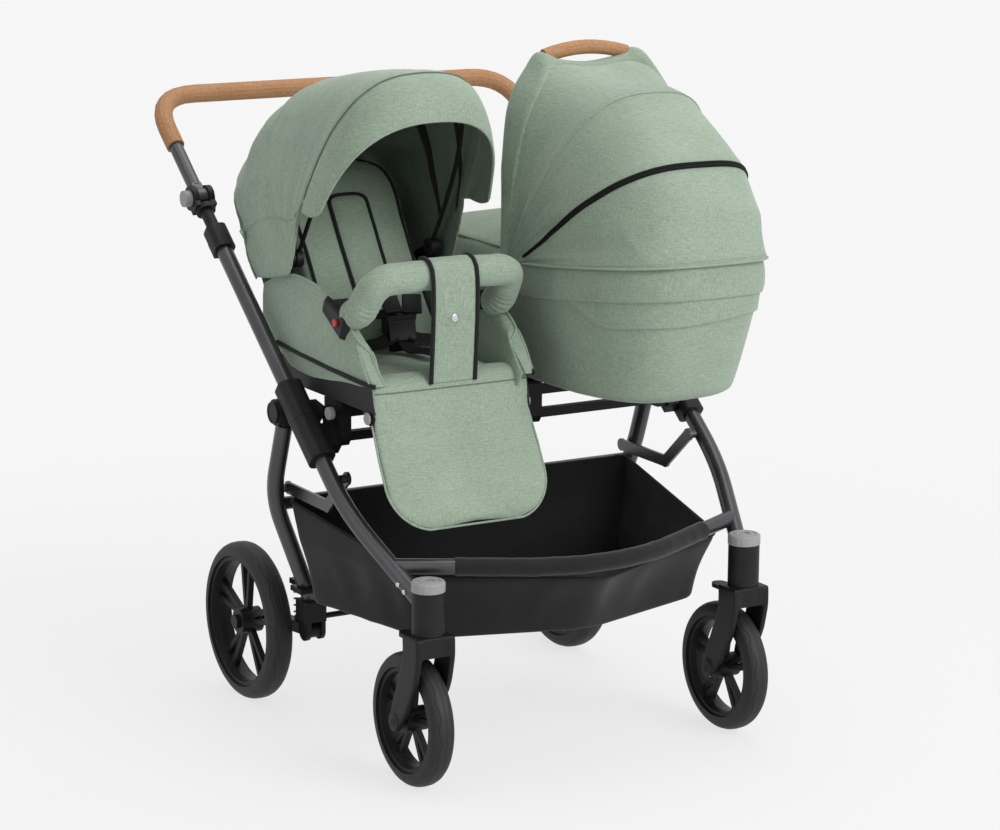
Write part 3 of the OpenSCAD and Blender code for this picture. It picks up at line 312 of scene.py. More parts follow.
# Sage cloth: a woven melange of light and dark green yarns, piece-dyed, with a dry soft face.
# It covers both seat units, so it is set up here with the carrycot, the largest piece made of it.
def woven(name, dark, mid, light, shine=0.25, depth=0.00022, contrast=1.0):
    cloth = Finish(name, Sheen_Weight=shine, Sheen_Roughness=0.5, Specular_IOR_Level=0.2)
    warp = cloth.noise((900, 900, 70), 2.0)
    weft = cloth.noise((90, 90, 1100), 2.0)
    slub = cloth.noise((1, 1, 1), 2.0, 620.0)
    patch = cloth.noise((1, 1, 1), 3.0, 9.0)
    yarn = 0.42 * warp + 0.33 * weft + 0.25 * slub
    tone = 0.5 + contrast * (yarn - 0.5) + 0.22 * (patch - 0.5)
    cloth.feed("Base Color", cloth.ramp(tone, [(0.30, dark), (0.5, mid), (0.72, light)]))
    cloth.feed("Roughness", 0.82 + 0.14 * yarn)
    cloth.bump(yarn, depth, 0.7)
    return cloth


SAGE = ((0.196, 0.256, 0.192), (0.272, 0.346, 0.266), (0.362, 0.446, 0.352))
sage = woven("sage_melange", *SAGE, contrast=1.45)
# The inner faces of the hood and canopy: the sage at about half its brightness, painted shade for the inside rather
# than a cloth of its own colour.
sage_in_painted_shade = woven("sage_inside_painted_shade", (0.100, 0.131, 0.100), (0.140, 0.179, 0.139), (0.186, 0.231, 0.185), 0.15)
black_cloth = woven("black_weave", (0.006, 0.006, 0.006), (0.011, 0.011, 0.011), (0.022, 0.022, 0.023), 0.2, 0.0002,
                    0.8)
black_binding = woven("black_binding", (0.007, 0.008, 0.008), (0.012, 0.013, 0.013), (0.020, 0.021, 0.021), 0.1,
                      0.00015, 0.6)


def along_list(rows, f):
    """A smooth blend of neighbouring rows of numbers, f from 0 at the first to 1 at the last."""
    place = min(max(f, 0.0), 1.0) * (len(rows) - 1)
    i = min(int(place), len(rows) - 2)
    s = place - i
    a, b, c, d = (np.array(rows[min(max(i + k, 0), len(rows) - 1)], float) for k in (-1, 0, 1, 2))
    return 0.5 * (2 * b + (c - a) * s + (2 * a - 5 * b + 4 * c - d) * s ** 2 + (3 * b - a - 3 * c + d) * s ** 3)


def on_arch(middle, stations, f, t):
    """A place on an arched shell: f runs over the arches, t from 0 at one foot to 1 at the other."""
    base_y, base_z, top_y, top_z, half, square = along_list(stations, f)
    c, s = math.cos(math.pi * t), math.sin(math.pi * t)
    height = max(s, 0.0) ** (2 / square)
    return Vector((middle + half * math.copysign(abs(c) ** (2 / square), c),
                   base_y + (top_y - base_y) * height, base_z + (top_z - base_z) * height))


def even_steps(count, crowd=0.35):
    """Steps from 0 to 1 along an arch, closer together near its feet."""
    return [k / count - crowd * math.sin(2 * math.pi * k / count) / (2 * math.pi) for k in range(count + 1)]


def cloth_sheet(name, rows, finish, ring=False, centre=(0, 0, 0)):
    """A sheet through rows of places. It faces away from centre, and a ring closes on itself."""
    count = len(rows[0])
    places = [tuple(p) for row in rows for p in row]
    faces = []
    for i in range(len(rows) - 1):
        for k in range(count if ring else count - 1):
            a, b = i * count + k, i * count + (k + 1) % count
            faces.append((a, b, b + count, a + count))
    mesh = bpy.data.meshes.new(name)
    mesh.from_pydata(places, [], faces)
    mesh.update()
    outward = sum((f.center - Vector(centre)).dot(f.normal) * f.area for f in mesh.polygons)
    if outward < 0:
        mesh.flip_normals()
    piece = bpy.data.objects.new(name, mesh)
    scene.collection.objects.link(piece)
    finish_of(piece, finish)
    return piece


def only(piece):
    bpy.ops.object.select_all(action="DESELECT")
    piece.select_set(True)
    bpy.context.view_layer.objects.active = piece


def crumple(piece, fold):
    """Moves each point along its normal by what fold gives for its place."""
    piece.data.update()
    moves = [(v.co + v.normal * fold(v.co)) for v in piece.data.vertices]
    for v, co in zip(piece.data.vertices, moves):
        v.co = co
    piece.data.update()


def finished(piece, wall=0.0, smooth=1, inner=None, rim=None):
    """Gives a sheet its thickness and its smooth surface. inner is the finish of its inside."""
    only(piece)
    if wall:
        if inner:
            piece.data.materials.append(inner.material)
        solid = piece.modifiers.new("thickness", "SOLIDIFY")
        solid.thickness, solid.offset = wall, -1
        solid.material_offset = 1 if inner else 0
        bpy.ops.object.modifier_apply(modifier=solid.name)
    if smooth:
        soft = piece.modifiers.new("smooth", "SUBSURF")
        soft.levels = soft.render_levels = smooth
        bpy.ops.object.modifier_apply(modifier=soft.name)
    bpy.ops.object.shade_smooth()
    return piece


def creases(place, scale, stretch, seed=0.0):
    """Soft folds that run along the direction in which stretch is small: 0 between folds, 1 on a ridge."""
    p = Vector((place.x * stretch[0], place.y * stretch[1], place.z * stretch[2])) * scale
    p = p + Vector((seed, seed * 1.7, -seed))
    return (1 - abs(noise.noise(p))) ** 3


def bump_at(value, middle, width):
    return math.exp(-((value - middle) / width) ** 2)


# Carrycot tub: a rigid oval shell in a fitted sage cover, sewn from a side strip and a base,
# with a seam down its front and a turned hem along the bottom. It clips into the brackets.
COT = 0.177
COT_Y = -0.119


def tub_ring(half, length, z, square=3.3, count=96):
    ring = []
    for k in range(count):
        t = 2 * math.pi * k / count
        c, s = math.cos(t), math.sin(t)
        ring.append(Vector((COT + half * math.copysign(abs(c) ** (2 / square), c),
                            COT_Y + length * math.copysign(abs(s) ** (2 / square), s), z)))
    return ring


def tub_size(z):
    """Half width and half length of the tub's outside at a height."""
    swell = max(0.0, min(1.0, (z - 0.5845) / 0.195)) ** 0.8
    return 0.1395 + 0.0185 * swell, 0.2975 + 0.0745 * swell


tub_rows = [tub_ring(0.060, 0.180, 0.5848), tub_ring(0.118, 0.270, 0.5848), tub_ring(0.130, 0.287, 0.5862),
            tub_ring(0.1385, 0.2965, 0.5925)]
for f in (0.06, 0.14, 0.24, 0.36, 0.48, 0.6, 0.72, 0.84, 0.95):
    tub_rows.append(tub_ring(*tub_size(0.5845 + 0.195 * f), 0.5845 + 0.195 * f))
tub_rows += [tub_ring(0.1575, 0.3745, 0.781), tub_ring(0.154, 0.371, 0.784), tub_ring(0.149, 0.366, 0.780)]
for f in (0.7, 0.4, 0.12):
    tub_rows.append(tub_ring(0.128 + 0.0195 * f ** 0.8, 0.286 + 0.078 * f ** 0.8, 0.5845 + 0.195 * f))
tub_rows += [tub_ring(0.110, 0.262, 0.596), tub_ring(0.050, 0.170, 0.595)]
tub_cover = cloth_sheet("tub_cover", tub_rows, sage, ring=True, centre=(COT, COT_Y, 0.68))
tub_cover.data.polygons.foreach_set("use_smooth", [True] * len(tub_cover.data.polygons))


def tub_folds(p):
    """Slack below the rim, the seam down the front and the turned hem along the bottom."""
    slack = 0.0016 * (creases(p, 7, (1, 1, 0.35), 3.0) - 0.4) if p.z < 0.775 else 0
    seam = 0.0022 * bump_at(p.x, 0.196, 0.004) * (p.y < -0.40) * (0.60 < p.z < 0.74)
    return slack - seam - 0.0012 * bump_at(p.z, 0.606, 0.003)


crumple(tub_cover, tub_folds)
only(tub_cover)
bpy.ops.object.mode_set(mode="EDIT")
bpy.ops.mesh.select_all(action="DESELECT")
bpy.ops.mesh.select_mode(type="EDGE")
bpy.ops.mesh.select_non_manifold()
bpy.ops.mesh.fill_holes(sides=0)
bpy.ops.object.mode_set(mode="OBJECT")
finished(tub_cover, smooth=1)
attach(tub_cover, "carrycot")
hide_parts("carrycot_tub")


# Rim band: the lower skirt of the hood and apron, a doubled strip that stretches over the tub's rim.
# Its lower edge dips at the front, where the skirt hangs over the band's own seam.
def ease(value, low, high):
    f = max(0.0, min(1.0, (value - low) / (high - low)))
    return f * f * (3 - 2 * f)


def lip_height(y):
    """The hood's lower edge climbs from its hinges to the front of the tub."""
    return 0.784 + 0.1114 * max(0.0, -0.147 - y) + 0.013 * ease(y, -0.147, -0.04)


def skirt_drop(p):
    """How far the skirt hangs below the band: most at the front, on the near side."""
    return 0.006 + 0.046 * ease(-p.y, 0.27, 0.40) * (1 - 0.30 * ease(p.x, 0.10, 0.30))


def band_rows(offsets, hang=None):
    rows = []
    for proud, drop in offsets:
        ring = []
        for p in tub_ring(0.158, 0.372, 0, count=144):
            z = lip_height(p.y) - (0.047 + drop * hang(p) if hang else drop)
            half, length = tub_size(z)
            ring.append(Vector((COT + (p.x - COT) * (half + proud) / 0.158,
                                COT_Y + (p.y - COT_Y) * (length + proud) / 0.372, z)))
        rows.append(ring)
    return rows


RIM_SECTION = [(-0.0040, -0.006), (0.0000, 0.000), (0.0022, 0.006), (0.0036, 0.015), (0.0042, 0.028), (0.0044, 0.040),
               (0.0052, 0.049), (0.0058, 0.053), (0.0046, 0.0555), (0.0022, 0.0535)]
SKIRT_SECTION = [(0.0002, 0.0), (0.0016, 0.25), (0.0024, 0.5), (0.0030, 0.75), (0.0040, 0.92), (0.0042, 1.0),
                 (0.0024, 1.02), (0.0006, 0.97)]


def rim_folds(p):
    """Small folds all over the band, which end just above its lower edge."""
    lip = lip_height(p.y)
    return 0.0030 * (creases(p, 10, (1, 1, 0.5), 8.0) - 0.35) * ease(p.z, lip - 0.054, lip - 0.045)


rim_band = cloth_sheet("rim_band", band_rows(RIM_SECTION), sage, ring=True, centre=(COT, COT_Y, 0.77))
crumple(rim_band, rim_folds)
finished(rim_band, 0.0022, 1)
skirt_rows = band_rows(SKIRT_SECTION, skirt_drop)
skirt = cloth_sheet("front_skirt", skirt_rows, sage, ring=True, centre=(COT, COT_Y, 0.77))
crumple(skirt, lambda p: 0.0018 * (creases(p, 10, (1, 1, 0.6), 5.0) - 0.35))
finished(skirt, 0.0022, 1)
for piece in (rim_band, skirt):
    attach(piece, "carrycot")


# Hood: one sheet of sage cloth over three hinged bows; its inside is the same sage painted about half as bright, as
# painted shade. Soft tension folds fan out from its hinges, the second bow lifts a seam, and a black zip runs across
# above the front panel.
HOOD = [(-0.097, 0.7925, -0.095, 1.112, 0.1570, 4.4), (-0.106, 0.791, -0.195, 1.1035, 0.1578, 3.2),
        (-0.114, 0.789, -0.295, 1.072, 0.1580, 2.75), (-0.127, 0.787, -0.372, 1.026, 0.1580, 3.0),
        (-0.138, 0.7855, -0.431, 0.973, 0.1580, 3.2), (-0.142, 0.785, -0.470, 0.912, 0.1582, 3.25),
        (-0.145, 0.7845, -0.4875, 0.862, 0.1588, 3.3), (-0.147, 0.784, -0.4985, 0.823, 0.1640, 3.3)]


def hood_at(f, t, proud=0.0):
    here = on_arch(COT, HOOD, f, t)
    if proud:
        da = on_arch(COT, HOOD, min(f + 0.01, 1), t) - on_arch(COT, HOOD, max(f - 0.01, 0), t)
        db = on_arch(COT, HOOD, f, min(t + 0.004, 1)) - on_arch(COT, HOOD, f, max(t - 0.004, 0))
        normal = da.cross(db)
        if normal.length > 1e-12:
            normal.normalize()
            if normal.dot(here - Vector((COT, -0.2, 0.85))) < 0:
                normal.negate()
            here = here + normal * proud
    return here


def crown_dip(p):
    """How far the cloth sinks below the handle, between its ends."""
    return 0.0135 * bump_at(p.x - COT, 0.0, 0.052) * ease(p.z, 1.05, 1.09)


def hood_folds(p):
    turn = math.degrees(math.atan2(p.z - 0.785, -(p.y + 0.105)))
    reach = math.hypot(p.y + 0.105, p.z - 0.785)
    side = abs(p.x - COT) / 0.158
    fan = (1 - abs(noise.noise(Vector((turn * 0.11, reach * 4.0, 2.0 if p.x > COT else 7.0))))) ** 3
    near = bump_at(reach, 0.14, 0.12) * max(0.0, side - 0.35) / 0.65
    sag = -0.0120 * bump_at(turn, 71, 8) * (1 - 0.35 * side) - 0.0030 * bump_at(turn, 43, 8) * (1 - 0.5 * side)
    bow = 0.0040 * bump_at(turn, 57.5, 3.0)
    pucker = 0.0016 * (creases(p, 26, (1, 1, 0.35), 6.0) - 0.4) * (bump_at(turn, 83, 5) + 0.5 * bump_at(turn, 60,
            3)) * ease(side, 0.3, 0.9)
    dip = -crown_dip(p) * ease(turn, 66, 82)
    front = 0.0040 * (creases(p, 5.5, (0.7, 1.0, 1.6), 4.0) - 0.4) * (turn < 34) + 0.0034 * (creases(p, 9,
            (0.5, 1, 1.4), 14.0) - 0.4) * bump_at(turn, 14, 9)
    return (0.0064 * near * (fan - 0.45) + sag + bow + pucker + front + dip) * ease(reach, 0.0, 0.06)


steps = even_steps(72)
hood = cloth_sheet("hood_shell", [[hood_at(k / 56, t) for t in steps] for k in range(57)], sage,
                   centre=(COT, -0.2, 0.85))
crumple(hood, hood_folds)
# The hood's inner face gets the darker sage: painted shade.
finished(hood, 0.0026, 1, inner=sage_in_painted_shade)
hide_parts("carrycot_hood")


def on_hood(f, t, proud):
    """A place on the folded hood cloth."""
    here = hood_at(f, t)
    return hood_at(f, t, proud + hood_folds(here))


def hood_line(f, proud, low=0.0, high=1.0, count=90):
    return [on_hood(f, low + (high - low) * k / count, proud) for k in range(count + 1)]


def hem_reach(t):
    """The hem is broad down the sides and narrow over the crown, between the handle's two tabs."""
    return 0.090 - 0.055 * bump_at(t, 0.5, 0.13)


bow_seam = drawn_tube("hood_bow_seam", hood_line(2 / 7, 0.0002, 0.03, 0.97), 0.0012, sage, sides=2)
lip_roll = drawn_tube("hood_lip", hood_line(0.996, 0.0006, 0.006, 0.994), 0.0020, sage, sides=2)
lip_stitch = drawn_tube("hood_lip_stitch", hood_line(0.960, 0.0000, 0.01, 0.99), 0.0006, sage, sides=2)
zip_black = Finish("zip_tape", Roughness=0.7, **{"Specular IOR Level": 0.12})
teeth = zip_black.place((1, 1, 1))
weave = zip_black.node("ShaderNodeTexWave", {"wave_type": "BANDS", "bands_direction": "DIAGONAL"},
                       {"Vector": teeth, "Scale": 260.0})
zip_black.feed("Base Color", zip_black.ramp(weave, [(0.2, (0.0035, 0.0035, 0.0035)), (0.9, (0.011, 0.011, 0.011))]))
zip_black.bump(weave, 0.0004, 0.8)


def on_zip(t, aside, lift):
    f = 4 / 7 + 0.02 * bump_at(t, 0.0, 0.08) + 0.02 * bump_at(t, 1.0, 0.08)
    across = (hood_at(f + 0.02, t) - hood_at(f - 0.02, t)).normalized()
    return on_hood(f, t, lift) + across * aside


ZIP_SECTION = [(-0.0068, 0.0006), (-0.0058, 0.0024), (-0.0030, 0.0034), (-0.0009, 0.0028), (0.0, 0.0016),
               (0.0009, 0.0028), (0.0030, 0.0034), (0.0058, 0.0024), (0.0068, 0.0006)]
zip_rows = [[on_zip(0.004 + 0.992 * k / 120, 0.9 * aside * min(1.0, 0.62 + min(k, 120 - k) / 30), lift)
             for k in range(121)] for aside, lift in ZIP_SECTION]
zip_tape = finished(cloth_sheet("hood_zip", zip_rows, zip_black, centre=(COT, -0.2, 0.85)), 0.0012, 1)


# Opening hem of the hood: the cloth is turned round the front bow and stitched down as a broad padded band.
# Over the crown it narrows to two tabs, through which the cork carry handle is screwed to the bow.
def on_tab(p):
    """Lift of the crown towards the handle's ends."""
    return 0.0165 * bump_at(abs(p.x - COT), 0.094, 0.017) * ease(p.z, 1.05, 1.09)


hem_rows = []
for part, proud in ((1.0, -0.0016), (0.99, -0.0004), (0.95, 0.0026), (0.85, 0.0044), (0.62, 0.0056), (0.35, 0.0058),
                    (0.10, 0.0052)):
    hem_rows.append([on_hood(hem_reach(t) * part, t, proud) for t in steps])
for back, inset in ((0.003, -0.0048), (0.009, -0.0042), (0.0145, -0.0022), (0.0185, 0.0012), (0.0185, 0.005),
                    (0.0155, 0.0085), (0.006, 0.0095), (-0.010, 0.0095)):
    station = (-0.097 + back, 0.7925, -0.095 + back, 1.112 - inset, 0.157 - inset, 4.4)
    hem_rows.append([on_arch(COT, [station, station], 0, t) for t in steps])
for k, row in enumerate(hem_rows):
    for p in row:
        p.z += on_tab(p) * ease(k, 1.0, 4.5) - (crown_dip(p) if k > 6 else 0.0)
hem = cloth_sheet("hood_hem", hem_rows, sage, centre=(COT, -0.3, 0.85))
crumple(hem, lambda p: 0.0014 * (creases(p, 16, (1, 0.3, 1), 1.0) - 0.4))
finished(hem, 0, 1)
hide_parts("hood_bow")
for piece, slot in ((hood, "sage_cloth"), (hem, "sage_cloth"), (bow_seam, "sage_cloth"), (lip_roll, "sage_cloth"),
                    (lip_stitch, "sage_cloth"), (zip_tape, "black_cloth")):
    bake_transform(piece)

# Seat cushion: a loose pad of wadding quilted between two layers of sage cloth. It lies in the tray,
# crowned along its middle, with two sewn channels across it.
SEAT = -0.183


def rounded_ring(half, low, high, radius, count=40, crown=0.0):
    """Places round a rounded oblong, from its right side over the top to the left: (across, up)."""
    ring = []
    for k in range(count):
        t = 2 * math.pi * (k + 0.5) / count
        c, s = math.cos(t), math.sin(t)
        power = 0.5 - 0.32 * (1 - min(1.0, 2 * radius / (high - low)))
        x = half * math.copysign(abs(c) ** power, c)
        z = (low + high) / 2 + (high - low) / 2 * math.copysign(abs(s) ** power, s)
        if s > 0:
            z += crown * (1 - (x / half) ** 2)
        ring.append((x, z))
    return ring


def capped(piece):
    """Closes the two open ends of a ring of rows."""
    only(piece)
    bpy.ops.object.mode_set(mode="EDIT")
    bpy.ops.mesh.select_all(action="DESELECT")
    bpy.ops.mesh.select_mode(type="EDGE")
    bpy.ops.mesh.select_non_manifold()
    bpy.ops.mesh.fill_holes(sides=0)
    bpy.ops.mesh.select_all(action="SELECT")
    bpy.ops.mesh.normals_make_consistent(inside=False)
    bpy.ops.object.mode_set(mode="OBJECT")
    return piece


def stuffed(piece, cap=0.008, sewn=None, pressure=4.0, voxel=0.006):
    """Swells a closed form as its filling does, held at the places where sewn gives 1."""
    only(piece)
    remesh = piece.modifiers.new("even_faces", "REMESH")
    remesh.mode, remesh.voxel_size = "VOXEL", voxel
    bpy.ops.object.modifier_apply(modifier=remesh.name)
    held = piece.vertex_groups.new(name="sewn")
    for v in piece.data.vertices:
        hold = sewn(v.co) if sewn else 0.0
        if hold > 0.02:
            held.add([v.index], min(1.0, hold), "REPLACE")
    before = [v.co.copy() for v in piece.data.vertices]
    cloth = piece.modifiers.new("filling", "CLOTH")
    cloth.settings.use_pressure = True
    cloth.settings.uniform_pressure_force = pressure
    cloth.settings.effector_weights.gravity = 0
    cloth.settings.vertex_group_mass = "sewn"
    cloth.settings.bending_stiffness = 0.6
    cloth.settings.quality = 5
    for step in range(1, 21):
        scene.frame_set(step)
    swollen = piece.evaluated_get(bpy.context.evaluated_depsgraph_get()).data
    after = [v.co.copy() for v in swollen.vertices]
    piece.modifiers.remove(cloth)
    scene.frame_set(1)
    piece.vertex_groups.clear()
    for v, old, new in zip(piece.data.vertices, before, after):
        move = new - old
        v.co = old + (move * (cap / move.length) if move.length > cap else move)
    even = piece.modifiers.new("even", "SMOOTH")
    even.factor, even.iterations = 0.5, 3
    bpy.ops.object.modifier_apply(modifier=even.name)
    return piece


pad_rows = []
for k in range(15):
    f = k / 14
    end = max(0.03, 1 - abs(2 * f - 1) ** 6) ** 0.5
    pad_rows.append([Vector((SEAT + x, 0.026 - 0.288 * f, z)) for x, z in
                     rounded_ring(0.116 * (0.9 + 0.1 * end) - 0.002, 0.6085, 0.6085 + 0.030 * end, 0.012,
                                  crown=0.004 * end)])
seat_pad = capped(cloth_sheet("seat_cushion", pad_rows, sage, ring=True, centre=(SEAT, -0.12, 0.62)))
stuffed(seat_pad, 0.007, lambda p: max(bump_at(p.y, -0.075, 0.006),
                                       bump_at(p.y, -0.165, 0.006)) if p.z > 0.615 else float(p.z < 0.611))
crumple(seat_pad, lambda p: (0.0018 * (creases(p, 13, (0.5, 1, 1), 2.0) - 0.4) if p.z > 0.618 else 0))
finished(seat_pad, smooth=1)
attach(seat_pad, "seat")
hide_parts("seat_pad")

# Backrest: a thick wadded back in sage cloth, piped in black along both edges of its face.
# A stitched pad for the child's back, bound in black tape round its arch, lies on its middle.
BACK_TURN = math.radians(56)


def on_back(across, up, out):
    """A place on the backrest: up its slope from the hinge, and out from the board towards the child."""
    return Vector((SEAT + across, 0.040 + up * math.cos(BACK_TURN) - out * math.sin(BACK_TURN),
                   0.625 + up * math.sin(BACK_TURN) + out * math.cos(BACK_TURN)))


def back_half(up):
    """Half the width of the back at a height on its slope, rounded at the crest."""
    top = 0.338
    if up < top - 0.085:
        return 0.112 - 0.004 * math.sin(max(0.0, up) / (top - 0.085) * math.pi)
    return 0.112 - 0.085 + 0.085 * math.sqrt(max(0.02, 1 - ((up - top + 0.085) / 0.085) ** 2))


back_rows = []
for k in range(25):
    f = k / 24
    up = 0.338 * f
    deep = 0.094 * max(0.06, 1 - max(0.0, 2.2 * f - 1.2) ** 5) ** 0.5
    row = []
    for x, o in rounded_ring(back_half(up), 0.0125, 0.0125 + deep - 0.010, 0.020, 44, 0.006):
        low = (1 - f) ** 2 * (0.030 - 0.062 * min(1.0, o / 0.095))
        row.append(on_back(x, up + low, o))
    back_rows.append(row)
back_pad = capped(cloth_sheet("backrest_cushion", back_rows, sage, ring=True, centre=on_back(0, 0.17, 0.05)))


def back_place(p):
    """Across, up and out of a place, seen on the backrest."""
    y, z = p.y - 0.040, p.z - 0.625
    return (p.x - SEAT, y * math.cos(BACK_TURN) + z * math.sin(BACK_TURN),
            -y * math.sin(BACK_TURN) + z * math.cos(BACK_TURN))


def back_sewn(p):
    across, up, out = back_place(p)
    if out < 0.07:
        return float(out < 0.018)
    return max(bump_at(abs(across), 0.101, 0.006), 0.8 * bump_at(up, 0.135, 0.005))


stuffed(back_pad, 0.008, back_sewn)
crumple(back_pad, lambda p: (0.0020 * (creases(p, 12, (0.5, 1, 1), 6.0) - 0.4) if back_place(p)[2] > 0.06 else 0))
finished(back_pad, smooth=1)
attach(back_pad, "backrest")
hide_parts("backrest_pad")


def laid_on(piece, places, proud):
    """Drops places on to a finished surface: each (start, direction) lands on it, raised by proud."""
    bpy.context.view_layer.update()
    found = []
    for start, way in places:
        hit, spot, _, _ = piece.ray_cast(start, way)
        if hit:
            found.append(spot - way.normalized() * proud)
    return found


into_back = on_back(0, 0, 0) - on_back(0, 0, 1)
for side in (-1, 1):
    edge = laid_on(back_pad, [(on_back(side * min(0.101, back_half(up) - 0.012), up, 0.25), into_back)
                              for up in np.linspace(-0.005, 0.326, 40)], 0.0008)
    piping = drawn_tube("backrest_piping_" + ("right" if side > 0 else "left"), edge, 0.0030, black_binding, "backrest",
                        sides=2)


def flap_outline(inset):
    half, top = 0.034 - inset, 0.240 - inset
    line = [(-half, 0.01)] + [(-half, up) for up in np.linspace(0.03, top - half * 0.55, 16)]
    for k in range(1, 12):
        turn = math.pi - math.pi * k / 12
        line.append((half * math.copysign(abs(math.cos(turn)) ** 0.6, math.cos(turn)),
                     top - half * 0.55 + half * 0.55 * math.sin(turn) ** 0.7))
    return line + [(half, up) for up in np.linspace(top - half * 0.55, 0.03, 16)] + [(half, 0.01)]


flap_rows = []
for share in (1.0, 0.97, 0.86, 0.6, 0.3, 0.0):
    lift = 0.0006 + 0.0075 * (1 - share ** 4)
    row = laid_on(back_pad, [(on_back(x * share, min(up, 0.218) + (up - min(up, 0.218)) * share, 0.25),
                              into_back) for x, up in flap_outline(0)], lift)
    flap_rows.append(row)
flap = cloth_sheet("back_flap", flap_rows, sage, centre=on_back(0, 0.12, 0.05))
only(flap)
bpy.ops.object.mode_set(mode="EDIT")
bpy.ops.mesh.select_all(action="SELECT")
bpy.ops.mesh.remove_doubles(threshold=0.0003)
bpy.ops.object.mode_set(mode="OBJECT")
finished(flap, 0.002, 1)
bound = laid_on(back_pad, [(on_back(x, up, 0.25), into_back) for x, up in flap_outline(-0.001)], 0.0020)
flap_binding = drawn_tube("back_flap_binding", bound, 0.0034, black_binding, "backrest", sides=2)
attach(flap, "backrest")

# Rear cover of the backrest: the same sage cloth drawn over the board from behind, with a hem all round.
# It hides the moulded board, and the canopy's rear edge is zipped to it.
cover_rows = []
for share, out in ((1.0, 0.011), (1.012, 0.004), (1.006, -0.0035), (0.97, -0.0058), (0.8, -0.0078), (0.5, -0.0085),
                   (0.06, -0.0085)):
    row = []
    for k in range(96):
        t = 2 * math.pi * k / 96
        c, s = math.cos(t), math.sin(t)
        up = 0.172 + 0.173 * share * math.copysign(abs(s) ** 0.3, s)
        wide = 0.1335 if up < 0.255 else 0.1335 - 0.09 + 0.09 * math.sqrt(max(0.0, 1 - ((up - 0.255) / 0.0935) ** 2))
        row.append(on_back(min(1.0, max(-1.0, math.copysign(abs(c) ** 0.3, c))) * wide * share, up + 0.006, out))
    cover_rows.append(row)
back_cover = cloth_sheet("backrest_rear_cover", cover_rows, sage, ring=True, centre=on_back(0, 0.17, 0.05))
crumple(back_cover, lambda p: 0.0022 * (creases(p, 9, (0.6, 1, 1), 12.0) - 0.5) if back_place(p)[2] < -0.003 else 0)
capped(back_cover)
finished(back_cover, smooth=1)
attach(back_cover, "backrest")

# Side walls of the seat: wadded sage panels that wrap the frame's sides from the tray to the bumper joint.
# Each has a piped top edge, a seam down its front corner and a black binding along the bottom.
WALL = [(0.112, 0.1470, 0.738, 0.655), (0.078, 0.1485, 0.752, 0.652), (0.035, 0.1495, 0.765, 0.650),
        (0.0, 0.1500, 0.7715, 0.648), (-0.040, 0.1505, 0.7715, 0.646), (-0.075, 0.1505, 0.7670, 0.644),
        (-0.108, 0.1500, 0.758, 0.642), (-0.140, 0.1495, 0.746, 0.640), (-0.170, 0.1490, 0.732, 0.638),
        (-0.195, 0.1482, 0.716, 0.636), (-0.211, 0.1470, 0.702, 0.635), (-0.2195, 0.1435, 0.694, 0.634),
        (-0.2245, 0.1360, 0.686, 0.634), (-0.2265, 0.1260, 0.676, 0.635)]
WALL_RAKE, RIGHT_FORWARD = 0.050, 0.020
WALL_THICK, TOP_EDGE, WALL_FLOOR = 0.0265, 0.0065, 0.612


def wall_at(f, g, side):
    """f runs from the back round the front corner, g from the binding up, over the top and down inside."""
    y, half, top, low = along_list(WALL, f)
    turned = max(0.0, min(1.0, (f - 0.80) / 0.12))
    rake = WALL_RAKE * ease(f, 0.50, 0.84)
    y -= RIGHT_FORWARD * ease(f, 0.50, 0.84) * (side > 0)
    lengthways = math.sin(math.pi * min(max(f * 1.05, 0.02), 1.0))
    puff = 0.0035 * math.sin(math.pi * min(1.0, g / 0.55)) * lengthways * (1 - turned)
    if g < 0.5:
        s = g / 0.5
        return Vector((SEAT + side * (half - 0.003 + puff - 0.0035 * s ** 6), y - rake * (1 - s),
                       low + (top - low) * s))
    s = (g - 0.5) / 0.5
    tuck = min(1.0, s * 5) ** 0.5
    bottom = WALL_FLOOR + (low - WALL_FLOOR) * turned
    z = top - 0.001 - (top - bottom) * max(0.0, s - 0.08) * 1.08
    inner = half - WALL_THICK if turned == 0 else 0.1205 + (half - 0.1245) * ease(f, 0.90, 1.0)
    across = (half - TOP_EDGE) * (1 - tuck) + inner * tuck - 0.006 * s ** 2 * (1 - turned)
    lining_back = 0.004 * turned * min(1.0, s * 5) * (1 - ease(f, 0.90, 1.0))
    return Vector((SEAT + side * across, y + lining_back - rake * min(1.0, (top - z) / (top - low)), z))


for side, name in ((-1, "left"), (1, "right")):
    round_top = [0.48, 0.495, 0.5, 0.506, 0.516, 0.535]
    girth = list(np.linspace(0, 0.46, 18)) + round_top + list(np.linspace(0.57, 1, 10))
    rows = [[wall_at(k / 60, g, side) for k in range(61)] for g in girth]
    wall = cloth_sheet("seat_wall_" + name, rows, sage, centre=(SEAT + side * 0.137, -0.08, 0.69))
    crumple(wall, lambda p: 0.0030 * (creases(p, 9, (1, 0.45, 0.9), 15.0 + (p.x > SEAT)) - 0.45)
            * (1 if abs(p.x - SEAT) > 0.14 else 1.5) * ease(p.y + 0.75 * max(0.0, 0.702 - p.z), -0.222, -0.200))
    finished(wall, 0.0022, 1)
    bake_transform(wall)
    top_line = [wall_at(f, 0.5, side) + Vector((0, 0, 0.0012)) for f in np.linspace(0.0, 0.99, 70)]
    bottom_line = [wall_at(f, 0.0, side) + Vector((side * 0.0008, 0, 0)) for f in np.linspace(0.12, 0.88, 60)]
    corner_line = [wall_at(0.80, g, side) + Vector((side * 0.0012, -0.0008, 0)) for g in np.linspace(0.02, 0.48, 30)]
    for kind, line, r, finish, slot in (("top_piping", top_line, 0.0024, sage, "sage_cloth"),
                                        ("binding", bottom_line, 0.0042, black_binding, "black_cloth"),
                                        ("corner_seam", corner_line, 0.0017, sage, "sage_cloth")):
        trim = drawn_tube("seat_wall_%s_%s" % (kind, name), line, r, finish, sides=2)
        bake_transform(trim)
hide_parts("side_panels")

